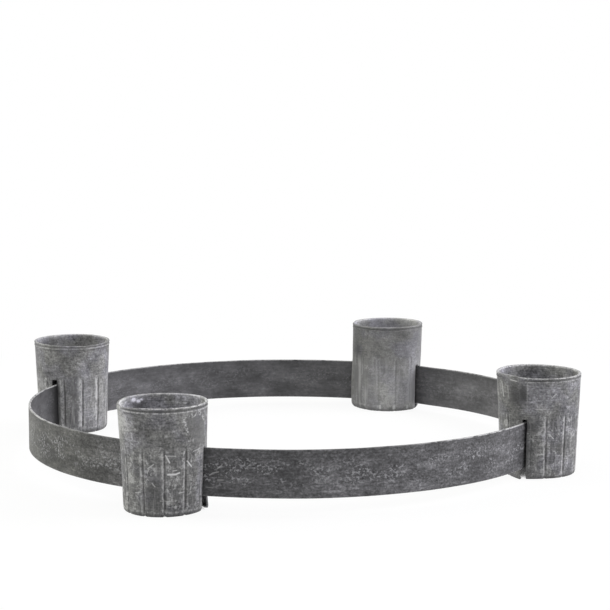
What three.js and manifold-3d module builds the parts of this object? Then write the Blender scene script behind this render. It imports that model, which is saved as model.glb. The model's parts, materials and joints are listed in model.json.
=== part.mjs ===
// Advent candle holder: four tapered sheet-metal cups straddle one flat hoop.
// The hoop runs through two slots in each cup, so a cup slides along it and lifts off it.
// A loose plate in each cup rests on the ends of the pressed grooves and carries the candle.
// Millimetres, +Z up. The origin is the hoop's centre, on the surface that the cups stand on.
import * as THREE from 'three';
import { mergeVertices } from 'three/addons/utils/BufferGeometryUtils.js';
import Module from 'manifold-3d';

const wasm = await Module();
wasm.setup();

// Hoop: a flat strip bent round, with its ends lapped and riveted
const HOOP_DIAMETER = 360; // outside
const STRIP_HEIGHT = 30;
const STRIP_THICKNESS = 1.5;
const HOOP_LIFT = 7; // from the table to the strip's lower edge, half way between front and back
const HOOP_RISE = 2.5; // the hoop lies loose in the slots: it is this much higher in front and lower behind
const LAP_LENGTH = 36; // how far the strip's ends overlap
const LAP_GAP = 0.3; // between the two layers of the lap
const JOGGLE_LENGTH = 24; // the outer end is set over by one layer along this length
const STRIP_STEPS = 144; // straight steps along the strip

// Rivets: flush on both sides, so that the slots pass over them
const RIVET_RADIUS = 2;
const RIVET_HEAD_RADIUS = 3.2;
const RIVET_HEAD_DEPTH = 0.7;
const RIVET_SPACING = 14; // from one rivet's axis to the other's
const RIVET_CLEARANCE = 0.3;
const RIVET_SIDES = 20;

// Cup walls
const CUP_HEIGHT = 67;
const LIP_DIAMETER = 56; // outside of the folded hem
const FOOT_DIAMETER = 49.5; // where the line of the wall meets the table
const SHEET = 1;
const HEM_HEIGHT = 2.7;
const HEM_PROUD = 0.6; // how far the hem stands out from the wall
const HEM_ROUND = 0.3; // small slope on the hem's edges
const FOOT_RADIUS = 3; // outer radius of the turned-in lower edge
const FOOT_FLAT = 2; // width of the flat ring that stands on the table
const FOOT_ARC_STEPS = 3;

// Grooves, pressed inwards from the foot up to the plate
const GROOVE_COUNT = 12;
const GROOVE_WIDTH = 2.6;
const GROOVE_DEPTH = 1.2;
const GROOVE_RUN_OUT = 0.8; // height over which a groove ends
const GROOVE_TO_SLOT = 1; // a groove nearer to a slot than this is left out
const GROOVE_OVER_SLOT = 0.4; // the grooves end this much above the slots
const LAND_STEPS = 3; // flats between two grooves

// Slots, open at the foot and rounded at the top; the inward edge of each bears on the strip
const SLOT_SEAT_GAP = 0.3; // between the strip and the edge that bears on it
const SLOT_CLEARANCE = 0.4; // between the lap and the other edge
const SLOT_HEADROOM = 0.8; // above the strip where it is highest
const SLOT_CORNER = 0.8; // radius of the top corners
const SLOT_ARC_STEPS = 4;
const CUT_MARGIN = 2; // how far a cutter runs past what it cuts

// Candle plates
const PLATE_THICKNESS = 1;
const PLATE_EDGE_ROUND = 0.3;
const PLATE_CLEARANCE = 0.4; // to the wall
const SEAT_GAP = 0.3; // between a plate and the ends of the grooves
const PLATE_SIDES = 48;

// Cups as they were set out by hand: places round the hoop, and the first groove from the outward side
const CUPS = [
  { name: 'front', station: -89.9, groovePhase: 0 },
  { name: 'right', station: 2.8, groovePhase: 0 },
  { name: 'back', station: 89, groovePhase: 7.5 },
  { name: 'left', station: 178, groovePhase: -8 },
];
const CUP_OUTSET = 0.2; // from the hoop's outer face to a cup's axis
const LAP_CUP = CUPS[2]; // the cup that hides the lap

// Worked out from the sizes above
const TURN = 2 * Math.PI;
const STRIP_RADIUS = HOOP_DIAMETER / 2 - STRIP_THICKNESS / 2; // middle of the strip
const CUP_AXIS_RADIUS = HOOP_DIAMETER / 2 + CUP_OUTSET;
const STRIP_MIDDLE = HOOP_LIFT + STRIP_HEIGHT / 2;
const STRIP_TOP = HOOP_LIFT + STRIP_HEIGHT + HOOP_RISE; // where it is highest
const HOOP_TILT = Math.asin((2 * HOOP_RISE) / HOOP_DIAMETER);
const STRIP_LEAN = (STRIP_HEIGHT / 2) * Math.sin(HOOP_TILT); // of the strip's edges, in front and behind
const LAYER = STRIP_THICKNESS + LAP_GAP; // from one layer of the lap to the other
const LAP_THICKNESS = STRIP_THICKNESS + LAYER;
const LAP_RADIUS = STRIP_RADIUS + LAYER / 2; // middle of the lap
const LAP_ANGLE = THREE.MathUtils.degToRad(LAP_CUP.station);
const SLOT_WIDTH = SLOT_SEAT_GAP + LAP_THICKNESS + SLOT_CLEARANCE + 2 * STRIP_LEAN;
const SLOT_TOP = STRIP_TOP + SLOT_HEADROOM;
const GROOVE_TOP = SLOT_TOP + GROOVE_OVER_SLOT;
const GROOVE_PITCH = TURN / GROOVE_COUNT;
const GROOVE_HALF_ANGLE = GROOVE_WIDTH / FOOT_DIAMETER;
const PLATE_BOTTOM = GROOVE_TOP + SEAT_GAP;
const PLATE_RADIUS = wallRadius(PLATE_BOTTOM) - SHEET - PLATE_CLEARANCE;
const SLOT_WALL_RADIUS = wallRadius(SLOT_TOP / 2) - SHEET / 2;

const cupMetal = () => new THREE.MeshStandardMaterial({ color: '#7c7c7b', roughness: 0.7, metalness: 0.55 });
const hoopMetal = () => new THREE.MeshStandardMaterial({ color: '#57575a', roughness: 0.65, metalness: 0.6 });
const plateMetal = () => new THREE.MeshStandardMaterial({ color: '#6a6a69', roughness: 0.75, metalness: 0.5 });
const rivetMetal = () => new THREE.MeshStandardMaterial({ color: '#5f5f62', roughness: 0.6, metalness: 0.65 });

/** Outer radius of the tapered wall at a height, without its grooves and hem. */
function wallRadius(height) {
  const lip = LIP_DIAMETER / 2 - HEM_PROUD;
  return THREE.MathUtils.lerp(FOOT_DIAMETER / 2, lip, height / CUP_HEIGHT);
}

/** A closed geometry as a solid that can be cut. */
function toSolid(geometry) {
  const bare = geometry.clone();
  bare.deleteAttribute('normal');
  bare.deleteAttribute('uv');
  const merged = mergeVertices(bare);
  return new wasm.Manifold(new wasm.Mesh({
    numProp: 3,
    vertProperties: new Float32Array(merged.attributes.position.array),
    triVerts: new Uint32Array(merged.index.array),
  }));
}

/** A cut solid as a geometry again. */
function toGeometry(solid) {
  const mesh = solid.getMesh();
  const geometry = new THREE.BufferGeometry();
  geometry.setAttribute('position', new THREE.BufferAttribute(mesh.vertProperties, mesh.numProp));
  geometry.setIndex(new THREE.BufferAttribute(mesh.triVerts, 1));
  geometry.computeVertexNormals();
  return geometry;
}

/** A geometry with the cutters taken out of it. */
function cut(geometry, cutters) {
  const solid = cutters.reduce((rest, cutter) => rest.subtract(toSolid(cutter)), toSolid(geometry));
  return toGeometry(solid);
}

function namedMesh(name, geometry, material) {
  const mesh = new THREE.Mesh(geometry, material);
  mesh.name = name;
  return mesh;
}

/** How far the strip is set over from its circle, at a length along it. */
function setOver(along, total) {
  const toLap = total - LAP_LENGTH - along;
  return LAYER * (1 - THREE.MathUtils.smoothstep(toLap, 0, JOGGLE_LENGTH));
}

/** Plan of the strip: its outer side one way and its inner side back, with the ends lapped. */
function stripPlan() {
  const total = TURN * STRIP_RADIUS + LAP_LENGTH;
  const outer = [];
  const inner = [];
  for (let step = 0; step <= STRIP_STEPS; step += 1) {
    const along = (total * step) / STRIP_STEPS;
    const angle = LAP_ANGLE + (along - LAP_LENGTH / 2) / STRIP_RADIUS;
    const direction = new THREE.Vector2(Math.cos(angle), Math.sin(angle));
    const middle = STRIP_RADIUS + setOver(along, total);
    outer.push(direction.clone().multiplyScalar(middle + STRIP_THICKNESS / 2));
    inner.push(direction.clone().multiplyScalar(middle - STRIP_THICKNESS / 2));
  }
  return new THREE.Shape([...outer, ...inner.reverse()]);
}

/** Flush rivet about the X axis, thicker all round by a clearance where it is a cutter. */
function rivetShape(clearance, endMargin) {
  const half = LAP_THICKNESS / 2;
  const shank = RIVET_RADIUS + clearance;
  const head = RIVET_HEAD_RADIUS + clearance;
  const side = [
    [0, -half - endMargin], [head, -half - endMargin], [head, -half], [shank, RIVET_HEAD_DEPTH - half],
    [shank, half - RIVET_HEAD_DEPTH], [head, half], [head, half + endMargin], [0, half + endMargin],
  ];
  const points = side.map(([radius, along]) => new THREE.Vector2(radius, along));
  const distinct = points.filter((point, i) => i === 0 || !point.equals(points[i - 1]));
  return new THREE.LatheGeometry(distinct, RIVET_SIDES).rotateZ(-Math.PI / 2);
}

/** The strip with its rivets, tilted as it lies, with the lap inside one cup. */
function buildHoop() {
  const hoop = new THREE.Group();
  hoop.position.z = STRIP_MIDDLE;
  hoop.rotation.x = -HOOP_TILT;
  const rivets = [
    { name: 'hoop_rivet_upper', height: RIVET_SPACING / 2 },
    { name: 'hoop_rivet_lower', height: -RIVET_SPACING / 2 },
  ];
  const strip = new THREE.ExtrudeGeometry(stripPlan(), { depth: STRIP_HEIGHT, bevelEnabled: false });
  strip.translate(0, 0, -STRIP_HEIGHT / 2);
  const holes = rivets.map(({ height }) =>
    rivetShape(RIVET_CLEARANCE, CUT_MARGIN).translate(LAP_RADIUS, 0, height).rotateZ(LAP_ANGLE));
  hoop.add(namedMesh('hoop_strip', cut(strip, holes), hoopMetal()));

  const lap = new THREE.Group();
  lap.rotation.z = LAP_ANGLE;
  for (const { name, height } of rivets) {
    const rivet = namedMesh(name, rivetShape(0, 0), rivetMetal());
    rivet.position.set(LAP_RADIUS, 0, height);
    lap.add(rivet);
  }
  hoop.add(lap);
  return hoop;
}

/** Section of the wall, counter-clockwise: flat foot, turned corner, wall, hem, then down the inside. */
function wallSection() {
  const point = (radius, height) => new THREE.Vector2(radius, height);
  const corner = wallRadius(FOOT_RADIUS) - FOOT_RADIUS; // centre of the turned corner
  const arc = (radius, from, to) => {
    const points = [];
    for (let step = 0; step <= FOOT_ARC_STEPS; step += 1) {
      const angle = THREE.MathUtils.lerp(from, to, step / FOOT_ARC_STEPS);
      points.push(point(corner + radius * Math.cos(angle), FOOT_RADIUS + radius * Math.sin(angle)));
    }
    return points;
  };
  const grooveShoulder = GROOVE_TOP - GROOVE_RUN_OUT;
  const hemFoot = CUP_HEIGHT - HEM_HEIGHT;
  const hemSide = LIP_DIAMETER / 2;
  return [
    point(corner - FOOT_FLAT, 0),
    ...arc(FOOT_RADIUS, -Math.PI / 2, 0),
    point(wallRadius(grooveShoulder), grooveShoulder),
    point(wallRadius(GROOVE_TOP), GROOVE_TOP),
    point(wallRadius(hemFoot), hemFoot),
    point(hemSide, hemFoot + HEM_ROUND),
    point(hemSide, CUP_HEIGHT - HEM_ROUND),
    point(hemSide - HEM_ROUND, CUP_HEIGHT),
    point(wallRadius(CUP_HEIGHT) - SHEET + HEM_ROUND, CUP_HEIGHT),
    point(wallRadius(CUP_HEIGHT) - SHEET, CUP_HEIGHT - HEM_ROUND),
    point(wallRadius(GROOVE_TOP) - SHEET, GROOVE_TOP),
    point(wallRadius(grooveShoulder) - SHEET, grooveShoulder),
    ...arc(FOOT_RADIUS - SHEET, 0, -Math.PI / 2),
    point(corner - FOOT_FLAT, SHEET),
  ];
}

/** Angles of the section's copies: the bottom and edges of each groove, and the lands between. */
function wallAngles(phase) {
  const land = GROOVE_PITCH - 2 * GROOVE_HALF_ANGLE;
  const angles = [];
  for (let groove = 0; groove < GROOVE_COUNT; groove += 1) {
    const bottom = phase + groove * GROOVE_PITCH;
    angles.push(bottom);
    for (let step = 0; step <= LAND_STEPS; step += 1) {
      angles.push(bottom + GROOVE_HALF_ANGLE + (land * step) / LAND_STEPS);
    }
  }
  return angles;
}

/** Where a cup's slots lie: distance and turn about the hoop's centre, and angle about the cup's own axis. */
function slotPlace(station) {
  const lean = STRIP_LEAN * Math.abs(Math.sin(THREE.MathUtils.degToRad(station)));
  const fromFace = SLOT_WIDTH / 2 - SLOT_SEAT_GAP - lean;
  const radius = STRIP_RADIUS - STRIP_THICKNESS / 2 + fromFace;
  const square = radius ** 2 + CUP_AXIS_RADIUS ** 2 - SLOT_WALL_RADIUS ** 2;
  const turn = Math.acos(square / (2 * radius * CUP_AXIS_RADIUS));
  const angle = Math.atan2(radius * Math.sin(turn), radius * Math.cos(turn) - CUP_AXIS_RADIUS);
  return { radius, turn, angle };
}

/** How deep the wall is pressed in at an angle and a height. */
function pressedDepth(angle, height, phase, slotAngle) {
  const bottom = phase + Math.round((angle - phase) / GROOVE_PITCH) * GROOVE_PITCH;
  const folded = Math.abs(Math.atan2(Math.sin(bottom), Math.cos(bottom)));
  const toSlot = Math.abs(folded - slotAngle) * SLOT_WALL_RADIUS;
  if (toSlot < SLOT_WIDTH / 2 + GROOVE_WIDTH / 2 + GROOVE_TO_SLOT) {
    return 0;
  }
  const across = Math.max(0, 1 - Math.abs(angle - bottom) / GROOVE_HALF_ANGLE);
  const atTop = THREE.MathUtils.clamp((GROOVE_TOP - height) / GROOVE_RUN_OUT, 0, 1);
  const atFoot = THREE.MathUtils.clamp((height - SHEET) / (FOOT_RADIUS - SHEET), 0, 1);
  return GROOVE_DEPTH * across * atTop * atFoot;
}

/** Closed ring of section copies, each pressed in where a groove runs. */
function groovedRing(phase, slotAngle) {
  const section = wallSection();
  const angles = wallAngles(phase);
  const positions = [];
  for (const angle of angles) {
    for (const { x, y } of section) {
      const radius = x - pressedDepth(angle, y, phase, slotAngle);
      positions.push(radius * Math.cos(angle), radius * Math.sin(angle), y);
    }
  }
  const index = [];
  const vertex = (row, column) => (row % angles.length) * section.length + (column % section.length);
  for (let row = 0; row < angles.length; row += 1) {
    for (let column = 0; column < section.length; column += 1) {
      index.push(vertex(row, column), vertex(row + 1, column), vertex(row, column + 1));
      index.push(vertex(row, column + 1), vertex(row + 1, column), vertex(row + 1, column + 1));
    }
  }
  const geometry = new THREE.BufferGeometry();
  geometry.setAttribute('position', new THREE.Float32BufferAttribute(positions, 3));
  geometry.setIndex(index);
  return geometry;
}

/** Cutter for one slot, along the strip where it meets the wall of a cup at the origin. */
function slotCutter({ radius, turn }, side) {
  const half = SLOT_WIDTH / 2;
  const outline = new THREE.Shape();
  outline.moveTo(-half, -CUT_MARGIN);
  outline.lineTo(half, -CUT_MARGIN);
  outline.absarc(half - SLOT_CORNER, SLOT_TOP - SLOT_CORNER, SLOT_CORNER, 0, Math.PI / 2, false);
  outline.absarc(SLOT_CORNER - half, SLOT_TOP - SLOT_CORNER, SLOT_CORNER, Math.PI / 2, Math.PI, false);
  outline.closePath();
  const depth = 2 * (FOOT_RADIUS + FOOT_FLAT + CUT_MARGIN);
  const options = { depth, bevelEnabled: false, curveSegments: SLOT_ARC_STEPS };
  const cutter = new THREE.ExtrudeGeometry(outline, options).translate(0, 0, -depth / 2);
  cutter.rotateX(Math.PI / 2).translate(radius, 0, 0).rotateZ(side * turn);
  return cutter.translate(-CUP_AXIS_RADIUS, 0, 0);
}

/** Loose disc that carries the candle, with its edges rounded. */
function plateShape() {
  const side = [
    [0, 0], [PLATE_RADIUS - PLATE_EDGE_ROUND, 0], [PLATE_RADIUS, PLATE_EDGE_ROUND],
    [PLATE_RADIUS, PLATE_THICKNESS - PLATE_EDGE_ROUND],
    [PLATE_RADIUS - PLATE_EDGE_ROUND, PLATE_THICKNESS], [0, PLATE_THICKNESS],
  ];
  const points = side.map(([radius, height]) => new THREE.Vector2(radius, height));
  return new THREE.LatheGeometry(points, PLATE_SIDES).rotateX(Math.PI / 2);
}

/** One cup at its station on the hoop, with its wall and its plate. */
function buildCup({ name, station, groovePhase }) {
  const cup = new THREE.Group();
  const phase = THREE.MathUtils.degToRad(groovePhase);
  const slot = slotPlace(station);
  const wall = cut(groovedRing(phase, slot.angle), [slotCutter(slot, 1), slotCutter(slot, -1)]);
  const plate = namedMesh(`cup_${name}_plate`, plateShape(), plateMetal());
  plate.position.z = PLATE_BOTTOM;
  const stand = new THREE.Group();
  stand.position.x = CUP_AXIS_RADIUS;
  stand.add(namedMesh(`cup_${name}_wall`, wall, cupMetal()), plate);
  cup.add(stand);
  cup.rotation.z = THREE.MathUtils.degToRad(station);
  return cup;
}

const candleHolder = new THREE.Group();
candleHolder.add(buildHoop(), ...CUPS.map(buildCup));

export default candleHolder;
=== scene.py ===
"""Looks of an advent candle holder: four grooved zinc cups that straddle a dark rolled hoop.

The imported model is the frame. The hoop's strip, the cups' walls and the candle plates are modelled
here with finer surfaces in the same places, and the hidden rivets keep their own shape.
"""

import json
import logging
import math
from dataclasses import dataclass, field, replace
from enum import Enum

import bpy
import numpy as np
from mathutils import Euler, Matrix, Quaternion, Vector

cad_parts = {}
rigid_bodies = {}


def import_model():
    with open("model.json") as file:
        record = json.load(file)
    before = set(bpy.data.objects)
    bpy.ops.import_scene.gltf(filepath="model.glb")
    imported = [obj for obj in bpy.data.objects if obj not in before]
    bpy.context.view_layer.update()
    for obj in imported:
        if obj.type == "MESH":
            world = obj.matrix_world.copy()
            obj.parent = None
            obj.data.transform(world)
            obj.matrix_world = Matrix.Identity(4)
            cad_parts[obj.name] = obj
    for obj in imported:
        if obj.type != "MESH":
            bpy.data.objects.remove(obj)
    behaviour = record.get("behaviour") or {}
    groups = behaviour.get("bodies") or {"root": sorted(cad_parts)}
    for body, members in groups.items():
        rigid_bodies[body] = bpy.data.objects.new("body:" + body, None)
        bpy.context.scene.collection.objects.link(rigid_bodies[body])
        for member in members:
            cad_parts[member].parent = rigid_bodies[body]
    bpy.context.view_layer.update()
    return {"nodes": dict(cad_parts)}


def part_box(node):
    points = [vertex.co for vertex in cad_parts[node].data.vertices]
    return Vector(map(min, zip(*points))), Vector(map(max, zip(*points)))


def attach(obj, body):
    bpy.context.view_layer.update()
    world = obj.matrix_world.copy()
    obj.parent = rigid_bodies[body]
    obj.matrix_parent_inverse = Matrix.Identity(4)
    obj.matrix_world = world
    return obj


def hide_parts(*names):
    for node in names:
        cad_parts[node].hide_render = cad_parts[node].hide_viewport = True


MM = 0.001
TURN = 2 * math.pi
MIDDLE = 0.5
CORE = 0.25
STROKE_TAPER = 0.6
CHANCE_EDGE = 0.01
SHARP = math.radians(50)
BEVEL_STEPS = 2
CUT_REACH = 4
WHITE = (1.0, 1.0, 1.0, 1.0)
EVEN = (MIDDLE, MIDDLE, MIDDLE, 1.0)
VIOLET = -0.01
RIVETS = ("hoop_rivet_upper", "hoop_rivet_lower")
MERGE = 0.01 * MM

Colour = tuple[float, float, float, float]
Pair = tuple[float, float]
Triple = tuple[float, float, float]
Piece = bpy.types.Object
Material = bpy.types.Material
Socket = bpy.types.NodeSocket
Wire = Socket | float | tuple

log = logging.getLogger("candle_holder")


class Slot(Enum):
    """The two slots of a cup, by the way round from its outward side."""

    CLOCKWISE = -1
    COUNTER = 1


class Push(Enum):
    """Ways in which a Displace modifier moves the points of a mesh."""

    NORMAL = "NORMAL"
    ACROSS = "X"
    FORWARD = "Y"
    UP = "Z"


class Layer(Enum):
    """Numbers painted on the points of a mesh for its finish."""

    # The worn layer also holds painted highlights; the recess layer holds painted shade, with patina in the
    # grooves and the hem's hollow; the shade layer holds the dark blots by the seam and painted shade on the
    # inner face; the soot layer holds painted shade, partly sooty, on the strip; on the cups the inside layer
    # marks the inner face, which is brightened as painted light.
    WORN = "worn"
    RECESS = "recess"
    PATCH = "patch"
    SHADE = "shade"
    PRESSED = "pressed"
    INSIDE = "inside"
    SOOT = "soot"
    TONE = "tone"


class Chart(Enum):
    """Maps laid on the pieces, in metres along and up the sheet."""

    WALL = "wall"
    STRIP = "strip"


def deselect_all() -> None:
    """Leaves edit mode and deselects every object."""
    active = bpy.context.view_layer.objects.active
    if active is not None and active.mode != "OBJECT":
        bpy.ops.object.mode_set(mode="OBJECT")
    bpy.ops.object.select_all(action="DESELECT")


def pick(piece: Piece) -> None:
    """Makes one object the only selected and active one."""
    deselect_all()
    piece.select_set(True)
    bpy.context.view_layer.objects.active = piece


def points_of(piece: Piece, what: str = "co") -> np.ndarray:
    """Returns the places of a mesh's points, or their normals, one row each."""
    flat = np.empty(len(piece.data.vertices) * 3)
    piece.data.vertices.foreach_get(what, flat)
    return flat.reshape(-1, 3)


def edit_points(piece: Piece, chosen: np.ndarray) -> None:
    """Goes into edit mode with some of a mesh's points selected.

    Args:
        piece: the mesh object.
        chosen: one true or false for each point.
    """
    pick(piece)
    bpy.context.tool_settings.mesh_select_mode = (True, False, False)
    piece.data.polygons.foreach_set("select", np.zeros(len(piece.data.polygons), bool))
    piece.data.edges.foreach_set("select", np.zeros(len(piece.data.edges), bool))
    piece.data.vertices.foreach_set("select", chosen)
    bpy.ops.object.mode_set(mode="EDIT")


def modify(piece: Piece, kind: str, **settings: object) -> None:
    """Adds one modifier to a piece and applies it.

    Args:
        piece: the mesh object.
        kind: the modifier's type.
        settings: its properties by name.
    """
    pick(piece)
    modifier = piece.modifiers.new(kind.lower(), kind)
    for name, value in settings.items():
        setattr(modifier, name, value)
    bpy.ops.object.modifier_apply(modifier=modifier.name)


def round_edges(piece: Piece, width: float) -> None:
    """Rounds the sharp edges of a piece."""
    modify(
        piece, "BEVEL", width=width, segments=BEVEL_STEPS, limit_method="ANGLE", angle_limit=SHARP,
    )


def weigh_points(piece: Piece, weights: np.ndarray) -> str:
    """Gives the points of a mesh a weight each, and returns the name of the group that holds them."""
    group = piece.vertex_groups.new(name="weights")
    for index in np.flatnonzero(weights):
        group.add([int(index)], float(weights[index]), "REPLACE")
    return group.name


def press(piece: Piece, weights: np.ndarray, depth: float, push: Push = Push.NORMAL) -> None:
    """Moves the points of a mesh by a depth times a weight from 0 to 1.

    Args:
        piece: the mesh object.
        weights: one weight for each point.
        depth: how far a point of weight 1 moves, in metres; below 0 it moves inwards.
        push: the way in which the points move.
    """
    group = weigh_points(piece, weights)
    modify(piece, "DISPLACE", vertex_group=group, strength=depth, mid_level=0.0, direction=push.value)
    piece.vertex_groups.clear()


def roughen(piece: Piece, grain: float, depth: float, push: Push,
            weights: np.ndarray | None = None) -> None:
    """Makes a surface uneven with a cloud pattern.

    Args:
        piece: the mesh object, with its place in its mesh.
        grain: size of the pattern in metres.
        depth: height from the lowest to the highest place, in metres.
        push: the way in which the points move.
        weights: how far each point moves, from 0 to 1; all move alike without it.
    """
    clouds = bpy.data.textures.new(f"{piece.name}_{push.name.lower()}", "CLOUDS")
    clouds.noise_scale = grain
    group = "" if weights is None else weigh_points(piece, weights)
    modify(
        piece, "DISPLACE", texture=clouds, texture_coords="LOCAL", strength=depth, mid_level=0.5,
        direction=push.value, vertex_group=group,
    )
    piece.vertex_groups.clear()


def set_place(piece: Piece, out: float, turn: float) -> None:
    """Moves a piece out along +X and turns it about the hoop's axis, with its place kept in its mesh.

    Args:
        piece: the mesh object at the origin.
        out: how far it moves from the hoop's axis, in metres.
        turn: angle about the hoop's axis, in radians.
    """
    pick(piece)
    piece.location = (out * math.cos(turn), out * math.sin(turn), 0)
    piece.rotation_euler = (0, 0, turn)
    bpy.ops.object.transform_apply(location=True, rotation=True, scale=True)


def cut_away(piece: Piece, cutters: list[Piece]) -> None:
    """Takes cutters out of a piece and removes them.

    Args:
        piece: the mesh object that is cut.
        cutters: closed mesh objects.
    """
    for cutter in cutters:
        modify(piece, "BOOLEAN", operation="DIFFERENCE", solver="EXACT", object=cutter)
        bpy.data.objects.remove(cutter)
    pick(piece)
    bpy.ops.object.mode_set(mode="EDIT")
    bpy.ops.mesh.select_mode(type="FACE")
    bpy.ops.mesh.select_face_by_sides(number=4, type="GREATER", extend=False)
    bpy.ops.mesh.select_more()
    bpy.ops.mesh.quads_convert_to_tris(quad_method="BEAUTY", ngon_method="BEAUTY")
    # Two neighbours can claim one sliver, which is then left with open edges.
    bpy.ops.mesh.select_mode(type="VERT")
    bpy.ops.mesh.select_non_manifold(
        extend=False, use_wire=False, use_boundary=True, use_multi_face=False, use_non_contiguous=False,
        use_verts=False,
    )
    bpy.ops.mesh.select_mode(type="FACE")
    bpy.ops.mesh.delete(type="FACE")
    bpy.ops.mesh.select_mode(type="VERT")
    bpy.ops.object.mode_set(mode="OBJECT")


def paint(piece: Piece, layer: Layer, values: np.ndarray) -> None:
    """Stores one number for each point of a mesh, which a finish reads by the layer's name."""
    kept = piece.data.attributes.new(layer.value, "FLOAT", "POINT")
    kept.data.foreach_set("value", values.astype(np.float32))


def lay_map(piece: Piece, chart: Chart, along: np.ndarray, up: np.ndarray, turn: float) -> None:
    """Lays a map on a mesh that runs round an axis, without tearing the faces where it closes.

    Args:
        piece: the mesh object.
        chart: the map's name.
        along: the place along the sheet of each point, in metres.
        up: the height on the sheet of each point, in metres.
        turn: length of one turn, in metres.
    """
    mesh = piece.data
    corners = np.empty(len(mesh.loops), int)
    mesh.loops.foreach_get("vertex_index", corners)
    starts = np.empty(len(mesh.polygons), int)
    mesh.polygons.foreach_get("loop_start", starts)
    counts = np.empty(len(mesh.polygons), int)
    mesh.polygons.foreach_get("loop_total", counts)
    u = along[corners]
    furthest = np.repeat(np.maximum.reduceat(u, starts), counts)
    u = u + turn * (furthest - u > turn / 2)
    layer = mesh.uv_layers.new(name=chart.value)
    layer.data.foreach_set("uv", np.column_stack([u, up[corners]]).ravel())


def smooth(piece: Piece, degrees: float = 38) -> None:
    """Shades a piece smooth, apart from edges sharper than an angle."""
    pick(piece)
    bpy.ops.object.shade_smooth_by_angle(angle=math.radians(degrees))


def fit_out(piece: Piece, material: Material, body: str, node: str) -> None:
    """Gives a new piece its finish and ties it to the frame.

    Args:
        piece: the finished mesh object.
        material: its material.
        body: the body that it moves with.
        node: the solid that it stands for.
    """
    piece.data.materials.clear()
    piece.data.materials.append(material)
    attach(piece, body)
    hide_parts(node)
    log.info("%s: %d faces, rides on %s", piece.name, len(piece.data.polygons), body)


def wrapped(angle: np.ndarray) -> np.ndarray:
    """Returns angles brought to the range from -pi to pi."""
    return (angle + math.pi) % TURN - math.pi


def bell(distance: np.ndarray, width: float) -> np.ndarray:
    """Returns 1 where a distance is 0, falling off smoothly over a width."""
    return np.exp(-((distance / width) ** 2))


def rise(value: np.ndarray, low: float, high: float) -> np.ndarray:
    """Returns a straight rise from 0 to 1 while a value goes from low to high."""
    return np.clip((value - low) / (high - low), 0, 1)


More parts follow.
